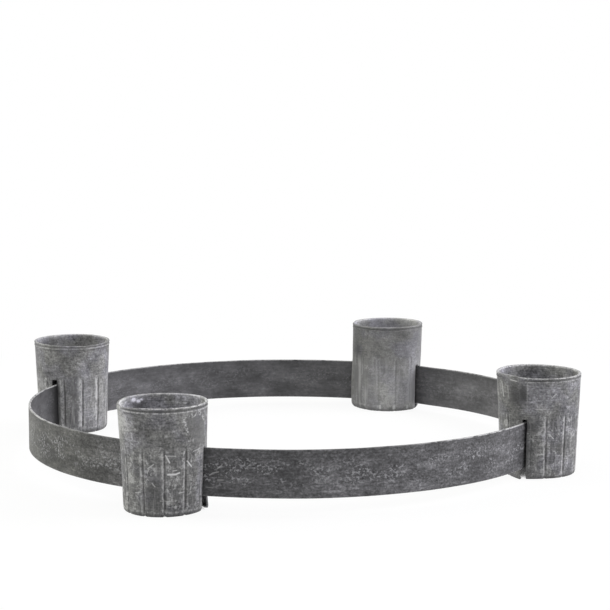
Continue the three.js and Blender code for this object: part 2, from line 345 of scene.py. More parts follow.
class Nodes:
    """Shader nodes of a material or of the world, and the patterns that they make."""

    def __init__(self, tree: bpy.types.NodeTree) -> None:
        """Empties a node tree, to fill it again."""
        self.tree = tree
        self.tree.nodes.clear()

    def node(self, kind: str, **settings: object) -> bpy.types.Node:
        """Adds a shader node and sets its properties by name."""
        made = self.tree.nodes.new(f"ShaderNode{kind}")
        for name, value in settings.items():
            setattr(made, name, value)
        return made

    def feed(self, socket: Socket, value: Wire) -> None:
        """Wires a socket to another one, or sets its plain value."""
        if isinstance(value, Socket):
            self.tree.links.new(value, socket)
        else:
            socket.default_value = value

    def place(self, stretch: Triple = (1, 1, 1), chart: Chart | None = None) -> Socket:
        """Gives the place on the piece in metres, stretched along its axes.

        Args:
            stretch: a factor for each axis; a small one draws a pattern out along it.
            chart: the piece's own map, or nothing for the place in space.

        Returns:
            The vector socket.
        """
        if chart is None:
            source = self.node("TexCoord").outputs["Object"]
        else:
            source = self.node("UVMap", uv_map=chart.value).outputs["UV"]
        mapping = self.node("Mapping")
        self.feed(mapping.inputs["Vector"], source)
        self.feed(mapping.inputs["Scale"], stretch)
        return mapping.outputs["Vector"]

    def grain(self, place: Wire, size: float, detail: float = 2, rough: float = 0.55,
              bend: float = 0) -> Socket:
        """Adds a noise pattern.

        Args:
            place: the vector that it is read at, in metres.
            size: size of its largest spots in metres.
            detail: how many finer patterns are laid over it.
            rough: how strong the finer patterns are.
            bend: how far the pattern is swirled.

        Returns:
            Its value, from 0 to 1 and mostly near a half.
        """
        noise = self.node("TexNoise")
        self.feed(noise.inputs["Vector"], place)
        self.feed(noise.inputs["Scale"], 1 / size)
        self.feed(noise.inputs["Detail"], detail)
        self.feed(noise.inputs["Roughness"], rough)
        self.feed(noise.inputs["Distortion"], bend)
        return noise.outputs["Fac"]

    def layer(self, layer: Layer) -> Socket:
        """Reads a number that is painted on the mesh."""
        return self.node("Attribute", attribute_name=layer.value).outputs["Fac"]

    def step(self, value: Wire, low: float, high: float) -> Socket:
        """Rises smoothly from 0 to 1 while a value goes from low to high."""
        ramp = self.node("MapRange", interpolation_type="SMOOTHSTEP")
        self.feed(ramp.inputs["Value"], value)
        self.feed(ramp.inputs["From Min"], low)
        self.feed(ramp.inputs["From Max"], high)
        return ramp.outputs["Result"]

    def span(self, value: Wire, low: float, high: float) -> Socket:
        """Spreads a value from 0 to 1 over another range."""
        ramp = self.node("MapRange")
        self.feed(ramp.inputs["Value"], value)
        self.feed(ramp.inputs["To Min"], low)
        self.feed(ramp.inputs["To Max"], high)
        return ramp.outputs["Result"]

    def math(self, operation: str, *numbers: Wire) -> Socket:
        """Works out one operation on up to three numbers."""
        made = self.node("Math", operation=operation)
        for socket, number in zip(made.inputs, numbers):
            self.feed(socket, number)
        return made.outputs[0]

    def vector(self, operation: str, first: Wire, second: Wire = (0, 0, 0),
               scale: Wire = 1.0) -> Socket:
        """Works out one operation on vectors, which gives a vector or a number."""
        made = self.node("VectorMath", operation=operation)
        self.feed(made.inputs[0], first)
        self.feed(made.inputs[1], second)
        if operation == "SCALE":
            self.feed(made.inputs["Scale"], scale)
        return made.outputs["Value" if operation in ("DOT_PRODUCT", "LENGTH") else "Vector"]

    def times(self, *factors: Wire) -> Socket:
        """Multiplies numbers together."""
        product = factors[0]
        for factor in factors[1:]:
            product = self.math("MULTIPLY", product, factor)
        return product

    def most(self, *values: Wire) -> Socket:
        """Takes the largest of several numbers."""
        largest = values[0]
        for value in values[1:]:
            largest = self.math("MAXIMUM", largest, value)
        return largest

    def line(self, value: Wire, middle: float, width: float) -> Socket:
        """Draws a thin line where a value passes through its middle."""
        away = self.math("ABSOLUTE", self.math("SUBTRACT", value, middle))
        return self.step(away, width, 0)

    def weigh(self, patterns: list[tuple[Wire, float]], gain: Wire) -> Socket:
        """Lays patterns over each other about a middle tone of one half.

        Args:
            patterns: each pattern with its weight.
            gain: how far the sum is spread about one half.

        Returns:
            The tone.
        """
        total = -MIDDLE * sum(weight for _, weight in patterns)
        for pattern, weight in patterns:
            total = self.math("MULTIPLY_ADD", pattern, weight, total)
        return self.math("MULTIPLY_ADD", total, gain, MIDDLE)

    def scratch(self, place: Wire, start: Pair, end: Pair, width: float) -> Socket:
        """Draws one straight scratch on a map.

        Args:
            place: the place on the map, in metres.
            start: one end of the scratch.
            end: its other end.
            width: half its width.

        Returns:
            1 along its middle and 0 beside it.
        """
        run = (end[0] - start[0], end[1] - start[1], 0.0)
        square = run[0] ** 2 + run[1] ** 2
        away = self.vector("SUBTRACT", place, (*start, 0.0))
        share = self.vector("DOT_PRODUCT", away, tuple(part / square for part in run))
        kept = self.math("MINIMUM", self.math("MAXIMUM", share, 0.0), 1.0)
        off = self.vector("SUBTRACT", away, self.vector("SCALE", run, scale=kept))
        return self.step(self.vector("LENGTH", off), width, CORE * width)

    def strokes(self, place: Wire, cell: float, reach: float, width: float,
                share: float) -> Socket:
        """Scatters short straight scratches over a map, turned every way.

        Args:
            place: the place on the map, in metres.
            cell: size of the patch that each scratch lies in.
            reach: half the length of a scratch.
            width: half its width.
            share: how many of the patches have one, from 0 to 1.

        Returns:
            1 along the scratches and 0 beside them.
        """
        scaled = self.vector("SCALE", place, scale=1 / cell)
        cells = self.node("TexVoronoi", voronoi_dimensions="2D")
        self.feed(cells.inputs["Vector"], scaled)
        self.feed(cells.inputs["Scale"], 1.0)
        chance = self.node("SeparateColor")
        self.feed(chance.inputs[0], cells.outputs["Color"])
        turned = self.node("VectorRotate", rotation_type="Z_AXIS")
        self.feed(turned.inputs["Vector"], self.vector("SUBTRACT", scaled, cells.outputs["Position"]))
        self.feed(turned.inputs["Angle"], self.math("MULTIPLY", chance.outputs[0], math.pi))
        parts = self.node("SeparateXYZ")
        self.feed(parts.inputs[0], turned.outputs[0])
        reach, width = reach / cell, width / cell
        along = self.step(self.math("ABSOLUTE", parts.outputs["X"]), reach, STROKE_TAPER * reach)
        across = self.step(self.math("ABSOLUTE", parts.outputs["Y"]), width, CORE * width)
        chosen = self.step(chance.outputs[1], 1 - share, 1 + CHANCE_EDGE - share)
        return self.times(along, across, chosen)

    def blend(self, share: Wire, first: Wire, second: Wire, how: str = "MIX") -> Socket:
        """Mixes two colours.

        Args:
            share: 0 gives the first colour and 1 the second.
            first: a colour or a colour socket.
            second: a colour or a colour socket.
            how: the kind of mix.

        Returns:
            The mixed colour.
        """
        mix = self.node("Mix", data_type="RGBA", blend_type=how)
        sockets = {socket.identifier: socket for socket in mix.inputs}
        self.feed(sockets["Factor_Float"], share)
        self.feed(sockets["A_Color"], first)
        self.feed(sockets["B_Color"], second)
        return next(socket for socket in mix.outputs if socket.identifier == "Result_Color")

    def ramp(self, value: Wire, stops: tuple[tuple[float, Colour], ...]) -> Socket:
        """Turns a tone into a colour.

        Args:
            value: the tone, from 0 to 1.
            stops: tones with their colours, in rising order.

        Returns:
            The colour.
        """
        made = self.node("ValToRGB")
        elements = made.color_ramp.elements
        for element, (tone, colour) in zip((elements[0], elements[-1]), (stops[0], stops[-1])):
            element.position = tone
            element.color = colour
        for tone, colour in stops[1:-1]:
            elements.new(tone).color = colour
        self.feed(made.inputs["Fac"], value)
        return made.outputs["Color"]

    def either(self, share: Wire, first: Wire, second: Wire) -> Socket:
        """Mixes two surfaces or lights.

        Args:
            share: 0 gives the first one and 1 the second.
            first: socket of a surface or light.
            second: socket of a surface or light.

        Returns:
            The mixed surface or light.
        """
        mix = self.node("MixShader")
        for socket, value in zip(mix.inputs, (share, first, second)):
            self.feed(socket, value)
        return mix.outputs[0]


class Shader(Nodes):
    """One procedural material."""

    def __init__(self, name: str) -> None:
        """Starts a material without a surface."""
        self.material = bpy.data.materials.new(name)
        self.material.use_nodes = True
        super().__init__(self.material.node_tree)

    def show(self, surface: Socket) -> Material:
        """Makes a socket the material's surface, and hands out the material."""
        self.feed(self.node("OutputMaterial").inputs["Surface"], surface)
        return self.material

    def finish(self, colour: Wire, roughness: Wire, relief: Wire, depth: float, metallic: float,
               gloss: float) -> Material:
        """Wires the surface and hands out the material.

        Args:
            colour: base colour.
            roughness: roughness.
            relief: height of the fine relief, from 0 to 1.
            depth: depth of that relief in metres.
            metallic: how far the wash lets the metal through.
            gloss: specular level.

        Returns:
            The material.
        """
        bump = self.node("Bump")
        self.feed(bump.inputs["Height"], relief)
        self.feed(bump.inputs["Distance"], depth)
        surface = self.node("BsdfPrincipled")
        self.feed(surface.inputs["Normal"], bump.outputs["Normal"])
        self.feed(surface.inputs["Base Color"], colour)
        self.feed(surface.inputs["Roughness"], roughness)
        self.feed(surface.inputs["Metallic"], metallic)
        self.feed(surface.inputs["Specular IOR Level"], gloss)
        return self.show(surface.outputs["BSDF"])


def grey(value: float, warm: float = 0.0) -> Colour:
    """Returns a grey colour, a little olive where warm is above 0 and a little violet below it."""
    return (value * (1 + warm / 3), value * (1 + warm / 3), value * (1 - warm), 1.0)


def greys(warm: float, *stops: Pair) -> tuple[tuple[float, Colour], ...]:
    """Returns tones with their greys, all with the same tint."""
    return tuple((tone, grey(value, warm)) for tone, value in stops)


@dataclass(frozen=True)
class Zone:
    """One soft spot, by degrees round a piece and millimetres up it, with its reach both ways."""

    turn: float
    up: float
    wide: float
    tall: float
    tone: float

    def spread(self, angle: np.ndarray, height: np.ndarray) -> np.ndarray:
        """Returns the spot's tone on the points of a mesh.

        Args:
            angle: angle of each point in radians.
            height: height of each point in metres.

        Returns:
            The tone in the middle, falling off to 0.
        """
        off = wrapped(angle - math.radians(self.turn))
        return self.tone * bell(off, math.radians(self.wide)) * bell(height - self.up * MM, self.tall * MM)


@dataclass(frozen=True)
class Scratch:
    """One bold scratch: its ends by degrees round the piece and millimetres up it."""

    start: Pair
    end: Pair
    strength: float = 0.7
    width: float = 0.5 * MM
    dotted: bool = False

    def draw(self, shader: Shader, place: Wire, radius: float, gaps: Wire) -> Socket:
        """Draws the scratch on a map.

        Args:
            shader: the material that it is drawn in.
            place: the place on the map, in metres.
            radius: radius that the map was laid at.
            gaps: pattern that breaks up a dotted scratch.

        Returns:
            The scratch's strength on it and 0 beside it.
        """
        ends = [(math.radians(turn) * radius, up * MM) for turn, up in (self.start, self.end)]
        drawn = shader.times(shader.scratch(place, *ends, self.width), self.strength)
        return shader.times(drawn, gaps) if self.dotted else drawn


@dataclass(frozen=True)
class ZincWash:
    """Mottled grey wash on a cup: pale with wear and painted highlights, dark in the pressed grooves with
    painted shade and patina.
    """

    name: str
    chart_radius: float
    scratches: tuple[Scratch, ...] = ()
    contrast: float = 1.0
    tones: tuple[tuple[float, Colour], ...] = greys(
        -0.02, (0.15, 0.045), (0.36, 0.1), (0.5, 0.15), (0.64, 0.215), (0.85, 0.4),
    )
    warm: Colour = (1.02, 1.02, 0.97, 1.0)
    cool: Colour = (0.98, 0.975, 1.02, 1.0)
    dark: Colour = grey(0.075, -0.02)
    pale: Colour = grey(0.34)
    bare: Colour = grey(0.56)
    # Dark for the painted shade, with patina in the grooves and the hem's hollow, and for the dark blots.
    soot: Colour = grey(0.03)
    metallic: float = 0.12
    gloss: float = 0.45
    relief: float = 0.16 * MM
    lower: float = 0.0
    streaky: float = 0.4
    streak: float = 1.6 * MM
    lit: Colour = (1.9, 1.9, 1.92, 1.0)
    cloud_size: float = 10 * MM
    mottle_size: float = 2.8 * MM
    mottle_rough: float = 0.6
    speck_size: float = 1.2 * MM
    brush_size: float = 0.9 * MM
    brush_stretch: Triple = (0.16, 0.16, 1)
    weights: tuple[float, ...] = (0.55, 0.5, 0.55, 0.4)
    flake_size: float = 1.5 * MM
    flake_stretch: Triple = (1, 1, 0.6)
    flake_edge: Pair = (0.4, 0.6)
    fray: float = 1.6
    calm_edge: Pair = (0.4, 0.66)
    calm_share: float = 0.7
    calm_gain: float = 0.3
    calm_dark: float = 0.32
    gain: float = 1.25
    pressed_gain: float = 0.3
    tint_size: float = 16 * MM
    tint_edge: Pair = (0.4, 0.6)
    streak_stretch: Triple = (1, 1, 0.1)
    streak_edge: Pair = (0.5, 0.72)
    clump_size: float = 7 * MM
    clump_tone: float = 0.9
    clump_edge: Pair = (0.45, 0.58)
    fleck_size: float = 1.7 * MM
    fleck_detail: float = 1.5
    fleck_stretch: Triple = (1, 1, 0.7)
    fleck_edge: Pair = (0.54, 0.65)
    fleck_above: float = 0.4
    still_share: float = 0.5
    worm_size: float = 3.6 * MM
    worm_bend: float = 1.2
    worm_width: float = 0.02
    worm_share: float = 0.45
    stroke: tuple[float, ...] = (6 * MM, 2 * MM, 0.3 * MM, 0.4)
    stroke_share: float = 0.5
    blot_fray: float = 1.4
    blot_edge: Pair = (0.75, 1.85)
    blot_share: float = 0.85
    recess_share: float = 0.8
    torn_width: float = 0.2
    torn_share: float = 0.6
    worn_least: float = 0.15
    worn_share: float = 0.9
    gap_edge: Pair = (0.42, 0.58)
    roughness: Pair = (0.4, 0.68)

    def make(self) -> Material:
        """Builds the material from layers of wash, brushing, scratches and wear."""
        shader = Shader(self.name)
        place = shader.place()
        chart = shader.place(chart=Chart.WALL)
        layers = {layer: shader.layer(layer) for layer in Layer}
        pressed = layers[Layer.PRESSED]
        mottle = shader.grain(place, self.mottle_size, rough=self.mottle_rough)
        specks = shader.grain(place, self.speck_size, detail=1)
        broken = shader.grain(shader.place(self.flake_stretch), self.flake_size, detail=1)

        uneven = shader.math("SUBTRACT", mottle, MIDDLE)
        ragged = shader.math("MULTIPLY_ADD", uneven, self.fray, layers[Layer.PATCH])
        calm = shader.step(ragged, *self.calm_edge)
        lively = shader.math("SUBTRACT", 1.0, shader.times(calm, self.calm_share))
        gain = shader.math("MULTIPLY_ADD", pressed, self.pressed_gain, self.gain)
        gain = shader.times(gain, shader.span(lively, self.calm_gain, 1.0), self.contrast)
        clouds = shader.grain(place, self.cloud_size, detail=3)
        brushing = shader.grain(shader.place(self.brush_stretch), self.brush_size, detail=1)
        patterns = list(zip((clouds, mottle, specks, brushing), self.weights))
        tone = shader.math("ADD", shader.weigh(patterns, gain), layers[Layer.TONE])
        colour = shader.ramp(tone, self.tones)
        slow = shader.step(shader.grain(place, self.tint_size, detail=1), *self.tint_edge)
        colour = shader.blend(1.0, colour, shader.blend(slow, self.warm, self.cool), "MULTIPLY")
        # Painted light: the inner face is brightened to stand in for the light inside the cup.
        colour = shader.blend(layers[Layer.INSIDE], colour, self.lit, "MULTIPLY")

        drawn = shader.grain(shader.place(self.streak_stretch), self.streak, detail=2)
        streaks = shader.times(shader.step(drawn, *self.streak_edge), pressed, self.streaky)
        patchy = shader.grain(place, self.clump_size)
        patchy = shader.math("MULTIPLY_ADD", layers[Layer.TONE], self.clump_tone, patchy)
        clumps = shader.step(patchy, *self.clump_edge)
        flecks = shader.grain(shader.place(self.fleck_stretch), self.fleck_size, self.fleck_detail)
        flecks = shader.step(flecks, *self.fleck_edge)
        shown = shader.span(pressed, self.fleck_above, 1.0)
        sown = shader.times(flecks, clumps, lively, shown, self.contrast)
        still = shader.times(shader.math("SUBTRACT", 1.0, clumps), pressed, self.contrast, self.still_share)
        colour = shader.blend(still, colour, self.dark)
        worms = shader.grain(place, self.worm_size, detail=1, bend=self.worm_bend)
        web = shader.times(shader.line(worms, MIDDLE, self.worm_width), clumps, lively, self.worm_share)
        strokes = shader.times(shader.strokes(chart, *self.stroke), pressed, self.stroke_share)
        colour = shader.blend(shader.most(streaks, sown, web, strokes), colour, self.pale)
        colour = shader.blend(shader.times(pressed, self.lower), colour, self.pale)

        colour = shader.blend(shader.times(calm, self.calm_dark), colour, self.dark)
        # Darkening from the shade layer: the dark blots beside the seam, and painted shade on the inner face.
        blotch = shader.math("MULTIPLY_ADD", mottle, self.blot_fray, layers[Layer.SHADE])
        blotch = shader.step(blotch, *self.blot_edge)
        colour = shader.blend(shader.times(blotch, self.blot_share), colour, self.soot)
        # Painted shade, with patina in the grooves and the hem's hollow, from the recess layer.
        colour = shader.blend(shader.times(layers[Layer.RECESS], self.recess_share), colour, self.soot)
        flaking = shader.step(broken, *self.flake_edge)
        torn = shader.line(ragged, MIDDLE, self.torn_width)
        torn = shader.times(torn, flaking, clumps, self.torn_share)
        rubbed_and_glint = shader.times(layers[Layer.WORN], shader.span(flaking, self.worn_least, 1.0), self.worn_share)
        gaps = shader.times(flaking, shader.step(specks, *self.gap_edge))
        drawn_on = [scratch.draw(shader, chart, self.chart_radius, gaps) for scratch in self.scratches]
        colour = shader.blend(shader.most(torn, rubbed_and_glint, *drawn_on), colour, self.bare)

        roughness = shader.span(mottle, *self.roughness)
        return shader.finish(colour, roughness, tone, self.relief, self.metallic, self.gloss)


@dataclass(frozen=True)
class RolledStrip:
    """Dark wash on the hoop, brushed along the strip, scratched, bright on its edges with wear and painted
    highlights, and darkened by painted shade, partly sooty, beside the cups.
    """

    height: float
    chart_radius: float
    scratches: tuple[Scratch, ...] = ()
    name: str = "rolled_strip"
    tones: tuple[tuple[float, Colour], ...] = greys(
        0.0, (0.15, 0.026), (0.36, 0.057), (0.5, 0.086), (0.64, 0.13), (0.85, 0.26),
    )
    dark: Colour = grey(0.014, -0.03)
    pale: Colour = grey(0.3, -0.03)
    bare: Colour = grey(0.55)
    metallic: float = 0.12
    gloss: float = 0.4
    relief: float = 0.3 * MM
    edge: float = 0.8 * MM
    tint_turn: Pair = (235, 275)
    warm: Colour = (1.03, 1.03, 0.95, 1.0)
    cool: Colour = (1.0, 0.99, 1.04, 1.0)
    weights: tuple[float, ...] = (0.75, 0.4, 0.5, 0.6)
    inner_show: float = 0.3
    inner_drift: float = 0.5
    gain: Pair = (0.32, 1.25)
    waver: float = 0.6
    band_low: Pair = (0.12, 0.4)
    band_high: Pair = (0.86, 0.62)
    band_least: float = 0.25
    clump_edge: Pair = (0.42, 0.56)
    fleck_edge: Pair = (0.52, 0.63)
    fleck_share: float = 0.9
    worm_width: float = 0.022
    worm_share: float = 0.6
    stroke: tuple[float, ...] = (5 * MM, 1.6 * MM, 0.25 * MM, 0.45)
    stroke_share: float = 0.8
    shade_edge: Pair = (0.68, 1.05)
    shade_share: float = 0.3
    soot_share: float = 0.97
    soot_edge: Pair = (1.0, 0.72)
    mark_share: float = 0.85
    upper_core: float = 0.3
    lower_core: float = 0.2
    lower_share: float = 0.2
    worn_edge: Pair = (0.3, 0.55)
    worn_share: float = 0.9
    gap_mottle: Pair = (0.35, 0.55)
    gap_specks: Pair = (0.42, 0.56)
    roughness: Pair = (0.4, 0.7)
    brush: Pair = (0.12, 1.5 * MM)
    speck: Pair = (0.8, 1.2 * MM)
    mottle: Pair = (0.7, 2.6 * MM)
    mottle_rough: float = 0.6
    cloud: Pair = (0.45, 12 * MM)
    clump: Pair = (0.5, 9 * MM)
    fleck: Pair = (0.85, 1.6 * MM)
    fleck_detail: float = 1.5
    worm_size: float = 3.4 * MM
    worm_bend: float = 1.5
    stroke_stretch: Triple = (0.6, 1, 1)

    def pattern(self, shader: Shader, along: float, size: float, **kind: float) -> Socket:
        """Adds a noise pattern that is drawn out along the strip."""
        return shader.grain(shader.place((along, 1, 1), Chart.STRIP), size, **kind)

    def up_strip(self, shader: Shader, height: Wire, ends: Pair) -> Socket:
        """Rises from 0 to 1 between two shares of the strip's height."""
        return shader.step(height, *(end * self.height for end in ends))

    def make(self) -> Material:
        """Builds the material on the strip's own map, which runs along it and up it in metres."""
        shader = Shader(self.name)
        chart = shader.place(chart=Chart.STRIP)
        brushing = self.pattern(shader, *self.brush)
        specks = self.pattern(shader, *self.speck, detail=1)
        mottle = self.pattern(shader, *self.mottle, rough=self.mottle_rough)
        clouds = self.pattern(shader, *self.cloud, detail=3)
        outer = shader.span(shader.layer(Layer.INSIDE), 1.0, self.inner_show)
        coarse = list(zip((clouds, brushing, shader.blend(outer, EVEN, specks), mottle), self.weights))
        swell = shader.math("SUBTRACT", clouds, MIDDLE)
        drift = shader.times(swell, shader.span(outer, self.inner_drift, 0.0))
        shift = shader.math("ADD", shader.layer(Layer.TONE), drift)
        tone = shader.math("ADD", shader.weigh(coarse, shader.span(outer, *self.gain)), shift)
        colour = shader.ramp(tone, self.tones)

        split = shader.node("SeparateXYZ")
        shader.feed(split.inputs[0], chart)
        round_hoop = split.outputs["X"]
        up = split.outputs["Y"]
        cooler = shader.step(round_hoop, *(math.radians(turn) * self.chart_radius for turn in self.tint_turn))
        colour = shader.blend(1.0, colour, shader.blend(cooler, self.warm, self.cool), "MULTIPLY")
        waver = shader.math("MULTIPLY_ADD", swell, self.waver * self.height, up)
        band = shader.times(*(self.up_strip(shader, waver, ends) for ends in (self.band_low, self.band_high)))
        clumps = shader.step(self.pattern(shader, *self.clump), *self.clump_edge)
        flecks = shader.step(self.pattern(shader, *self.fleck, detail=self.fleck_detail), *self.fleck_edge)
        worms = shader.grain(chart, self.worm_size, detail=1, bend=self.worm_bend)
        worms = shader.line(worms, MIDDLE, self.worm_width)
        strokes = shader.strokes(shader.place(self.stroke_stretch, Chart.STRIP), *self.stroke)
        marks = shader.most(
            shader.times(flecks, self.fleck_share), shader.times(worms, self.worm_share),
            shader.times(strokes, self.stroke_share),
        )
        # Painted shade beside the cups, partly sooty, from the soot layer; where it is heaviest it also hides
        # the pale marks.
        soot = shader.layer(Layer.SOOT)
        shade = shader.times(self.up_strip(shader, waver, self.shade_edge), self.shade_share)
        colour = shader.blend(shader.most(shade, shader.times(soot, self.soot_share)), colour, self.dark)
        clean = shader.step(soot, *self.soot_edge)
        shown = shader.times(shader.span(band, self.band_least, 1.0), outer, clean, self.mark_share)
        colour = shader.blend(shader.times(marks, clumps, shown), colour, self.pale)

        # The top edge is bright with wear and painted highlights, most strongly at the listed stations.
        upper = shader.step(up, self.height - self.edge, self.height - self.upper_core * self.edge)
        lower = shader.times(shader.step(up, self.edge, self.lower_core * self.edge), self.lower_share)
        worn = shader.most(shader.times(upper, shader.layer(Layer.WORN)), lower)
        rubbed_and_glint = shader.times(worn, shader.step(mottle, *self.worn_edge), self.worn_share)
        gaps = shader.times(shader.step(mottle, *self.gap_mottle), shader.step(specks, *self.gap_specks))
        drawn_on = [scratch.draw(shader, chart, self.chart_radius, gaps) for scratch in self.scratches]
        colour = shader.blend(shader.most(rubbed_and_glint, *drawn_on), colour, self.bare)

        roughness = shader.span(brushing, *self.roughness)
        return shader.finish(colour, roughness, tone, self.relief, self.metallic, self.gloss)


@dataclass(frozen=True)
class PlainWash:
    """Even zinc wash on the candle plates and rivets, clouded and a little scratched."""

    name: str
    dark: Colour
    middle: Colour
    bare: Colour = grey(0.4)
    metallic: float = 0.12
    gloss: float = 0.4
    relief: float = 0.15 * MM
    cloud_size: float = 7 * MM
    cloud_rough: float = 0.6
    cloud_edge: Pair = (0.3, 0.7)
    speck_size: float = 1.1 * MM
    fleck_edge: Pair = (0.6, 0.75)
    fleck_share: float = 0.35
    worm_size: float = 6 * MM
    worm_bend: float = 1.0
    worm_width: float = 0.01
    worm_edge: Pair = (0.5, 0.6)
    worm_share: float = 0.5
    roughness: Pair = (0.45, 0.75)

    def make(self) -> Material:
        """Builds the material from clouds, flecks and scratches."""
        shader = Shader(self.name)
        place = shader.place()
        clouds = shader.grain(place, self.cloud_size, detail=5, rough=self.cloud_rough)
        specks = shader.grain(place, self.speck_size)
        worms = shader.grain(place, self.worm_size, detail=1, bend=self.worm_bend)
        colour = shader.blend(shader.step(clouds, *self.cloud_edge), self.dark, self.middle)
        flecks = shader.times(shader.step(specks, *self.fleck_edge), self.fleck_share)
        scratches = shader.times(
            shader.line(worms, MIDDLE, self.worm_width), shader.step(clouds, *self.worm_edge),
            self.worm_share,
        )
        colour = shader.blend(shader.most(flecks, scratches), colour, self.bare)
        roughness = shader.span(clouds, *self.roughness)
        return shader.finish(colour, roughness, specks, self.relief, self.metallic, self.gloss)


@dataclass(frozen=True)
class CupShape:
    """Sizes of a cup's wall: a tapered sheet with a rolled hem, a turned-in foot, grooves and two slots."""

    height: float = 67 * MM
    lip_radius: float = 28 * MM
    foot_radius: float = 24.75 * MM
    sheet: float = 1 * MM
    hem_height: float = 3.5 * MM
    hem_proud: float = 0.3 * MM
    hem_hollow: float = 0.35 * MM
    lip_inward: float = 0.9 * MM
    lip_drop: float = 9 * MM
    lip_round: float = 0.5 * MM
    lip_rows: int = 14
    corner: float = 2.8 * MM
    corner_inset: float = 1.1 * MM
    inner_inset: float = 0.6 * MM
    flat: float = 2 * MM
    groove_count: int = 12
    groove_width: float = 2.1 * MM
    groove_depth: float = 0.75 * MM
    ridge_height: float = 1.2 * MM
    groove_top: float = 40.7 * MM
    groove_run_out: float = 1.6 * MM
    groove_to_slot: float = 0.8 * MM
    notch_height: float = 1.6 * MM
    notch_reach: float = 3.4 * MM
    notch_width: float = 0.95
    hem_bead_power: float = 5
    hem_hollow_at: float = 0.52
    hem_hollow_width: float = 0.17
    hem_gap_edge: Pair = (0.75, 1.1)
    lip_round_from: float = 0.75
    lip_flat: float = 0.9 * MM
    lip_bead: float = 0.13
    lip_fade: float = 1.5
    lip_crowding: float = 1.6
    lap_steepness: float = 1.4
    lap_set_in: float = 0.8
    lap_drop: float = 0.35
    fold_inner: Pair = (-2, -0.9)
    fold_outer: Pair = (1.1, 0.85)
    fold_line: Pair = (1.25, 0.25)
    fold_sunk: float = 0.7
    slot_corner_steps: int = 4
    lower_rows: int = 12
    slot_top: float = 40.3 * MM
    slot_corner: float = 0.8 * MM
    fold_width: float = 2 * MM
    fold_proud: float = 0.3 * MM
    columns: int = 360
    wall_rows: int = 52
    hem_rows: int = 16
    inner_rows: int = 9
    corner_rows: int = 5

    @property
    def hem_foot(self) -> float:
        """Height of the hem's lower edge."""
        return self.height - self.hem_height

    def wall_radius(self, height: float | np.ndarray) -> float | np.ndarray:
        """Outer radius of the wall at a height, without its grooves and hem."""
        lip = self.lip_radius - self.hem_proud
        return self.foot_radius + (lip - self.foot_radius) * height / self.height

    def hem_radius(self, share: float) -> float:
        """Outer radius of the hem: two beads with a hollow between them.

        Args:
            share: 0 at the hem's foot and 1 at the top of the cup.

        Returns:
            The radius in metres.
        """
        bead = math.sqrt(max(0.0, 1 - abs(2 * share - 1) ** self.hem_bead_power))
        hollow = self.hem_hollow * math.exp(-(((share - self.hem_hollow_at) / self.hem_hollow_width) ** 2))
        over = max(0.0, (share - self.lip_round_from) / (1 - self.lip_round_from))
        turned = self.lip_round * (1 - math.sqrt(1 - over ** 2))
        wall = self.wall_radius(self.hem_foot + share * self.hem_height)
        return wall + self.hem_proud * bead - hollow - turned

    def section(self) -> list[Pair]:
        """Works out the wall's section, from the inner edge of the foot up the outside and down the inside.

        Returns:
            Points of radius and height; the last one closes on the first.
        """
        axis = self.wall_radius(self.corner) - self.corner_inset
        inner_axis = self.wall_radius(self.corner) - self.sheet - self.inner_inset
        inner_corner = self.corner - self.sheet
        quarter = [math.pi / 2 * row / self.corner_rows for row in range(self.corner_rows + 1)]
        rows = [(axis - self.flat, 0.0)]
        rows += [(axis + self.corner_inset * math.sin(a), self.corner * (1 - math.cos(a))) for a in quarter]
        for height in np.linspace(self.corner, self.hem_foot, self.wall_rows + 1)[1:]:
            rows.append((self.wall_radius(height), height))
        for row in range(1, self.hem_rows + 1):
            share = MIDDLE - MIDDLE * math.cos(math.pi * row / self.hem_rows)
            rows.append((self.hem_radius(share), self.hem_foot + share * self.hem_height))
        rows.append((self.wall_radius(self.height) - self.lip_flat, self.height))
        for row in range(1, self.lip_rows + 1):
            share = (row / self.lip_rows) ** self.lip_crowding
            curl = math.sqrt(1 - max(0.0, 1 - share / self.lip_bead) ** 2)
            bead = self.lip_inward * curl * (1 - share) ** self.lip_fade
            drop = share * self.lip_drop
            rows.append((self.wall_radius(self.height - drop) - self.sheet - bead, self.height - drop))
        inside = list(np.linspace(self.height - self.lip_drop, self.groove_top, self.inner_rows)[1:])
        inside += list(np.linspace(self.groove_top, self.corner, self.lower_rows)[1:])
        rows += [(self.wall_radius(height) - self.sheet, height) for height in inside]
        for a in reversed(quarter[:-1]):
            out = inner_axis + self.inner_inset * math.sin(a)
            rows.append((out, self.corner - inner_corner * math.cos(a)))
        rows.append((axis - self.flat, self.sheet))
        rows.append(rows[0])
        return rows

    def model(self) -> Piece:
        """Models the plain wall at the origin: a ring that is drawn up through the section.

        Returns:
            The mesh object, which each cup copies.
        """
        rows = self.section()
        deselect_all()
        bpy.ops.mesh.primitive_circle_add(vertices=self.columns, radius=rows[0][0], calc_uvs=False)
        wall = bpy.context.object
        bpy.ops.object.mode_set(mode="EDIT")
        bpy.ops.mesh.select_all(action="SELECT")
        for (radius, height), (next_radius, next_height) in zip(rows, rows[1:]):
            grow = next_radius / radius
            lift = {"value": (0, 0, next_height - height)}
            bpy.ops.mesh.extrude_region_move(TRANSFORM_OT_translate=lift)
            bpy.ops.transform.resize(value=(grow, grow, 1), center_override=(0, 0, 0))
        bpy.ops.mesh.select_all(action="SELECT")
        bpy.ops.mesh.remove_doubles(threshold=MERGE)
        bpy.ops.mesh.normals_make_consistent(inside=False)
        bpy.ops.object.mode_set(mode="OBJECT")
        return wall


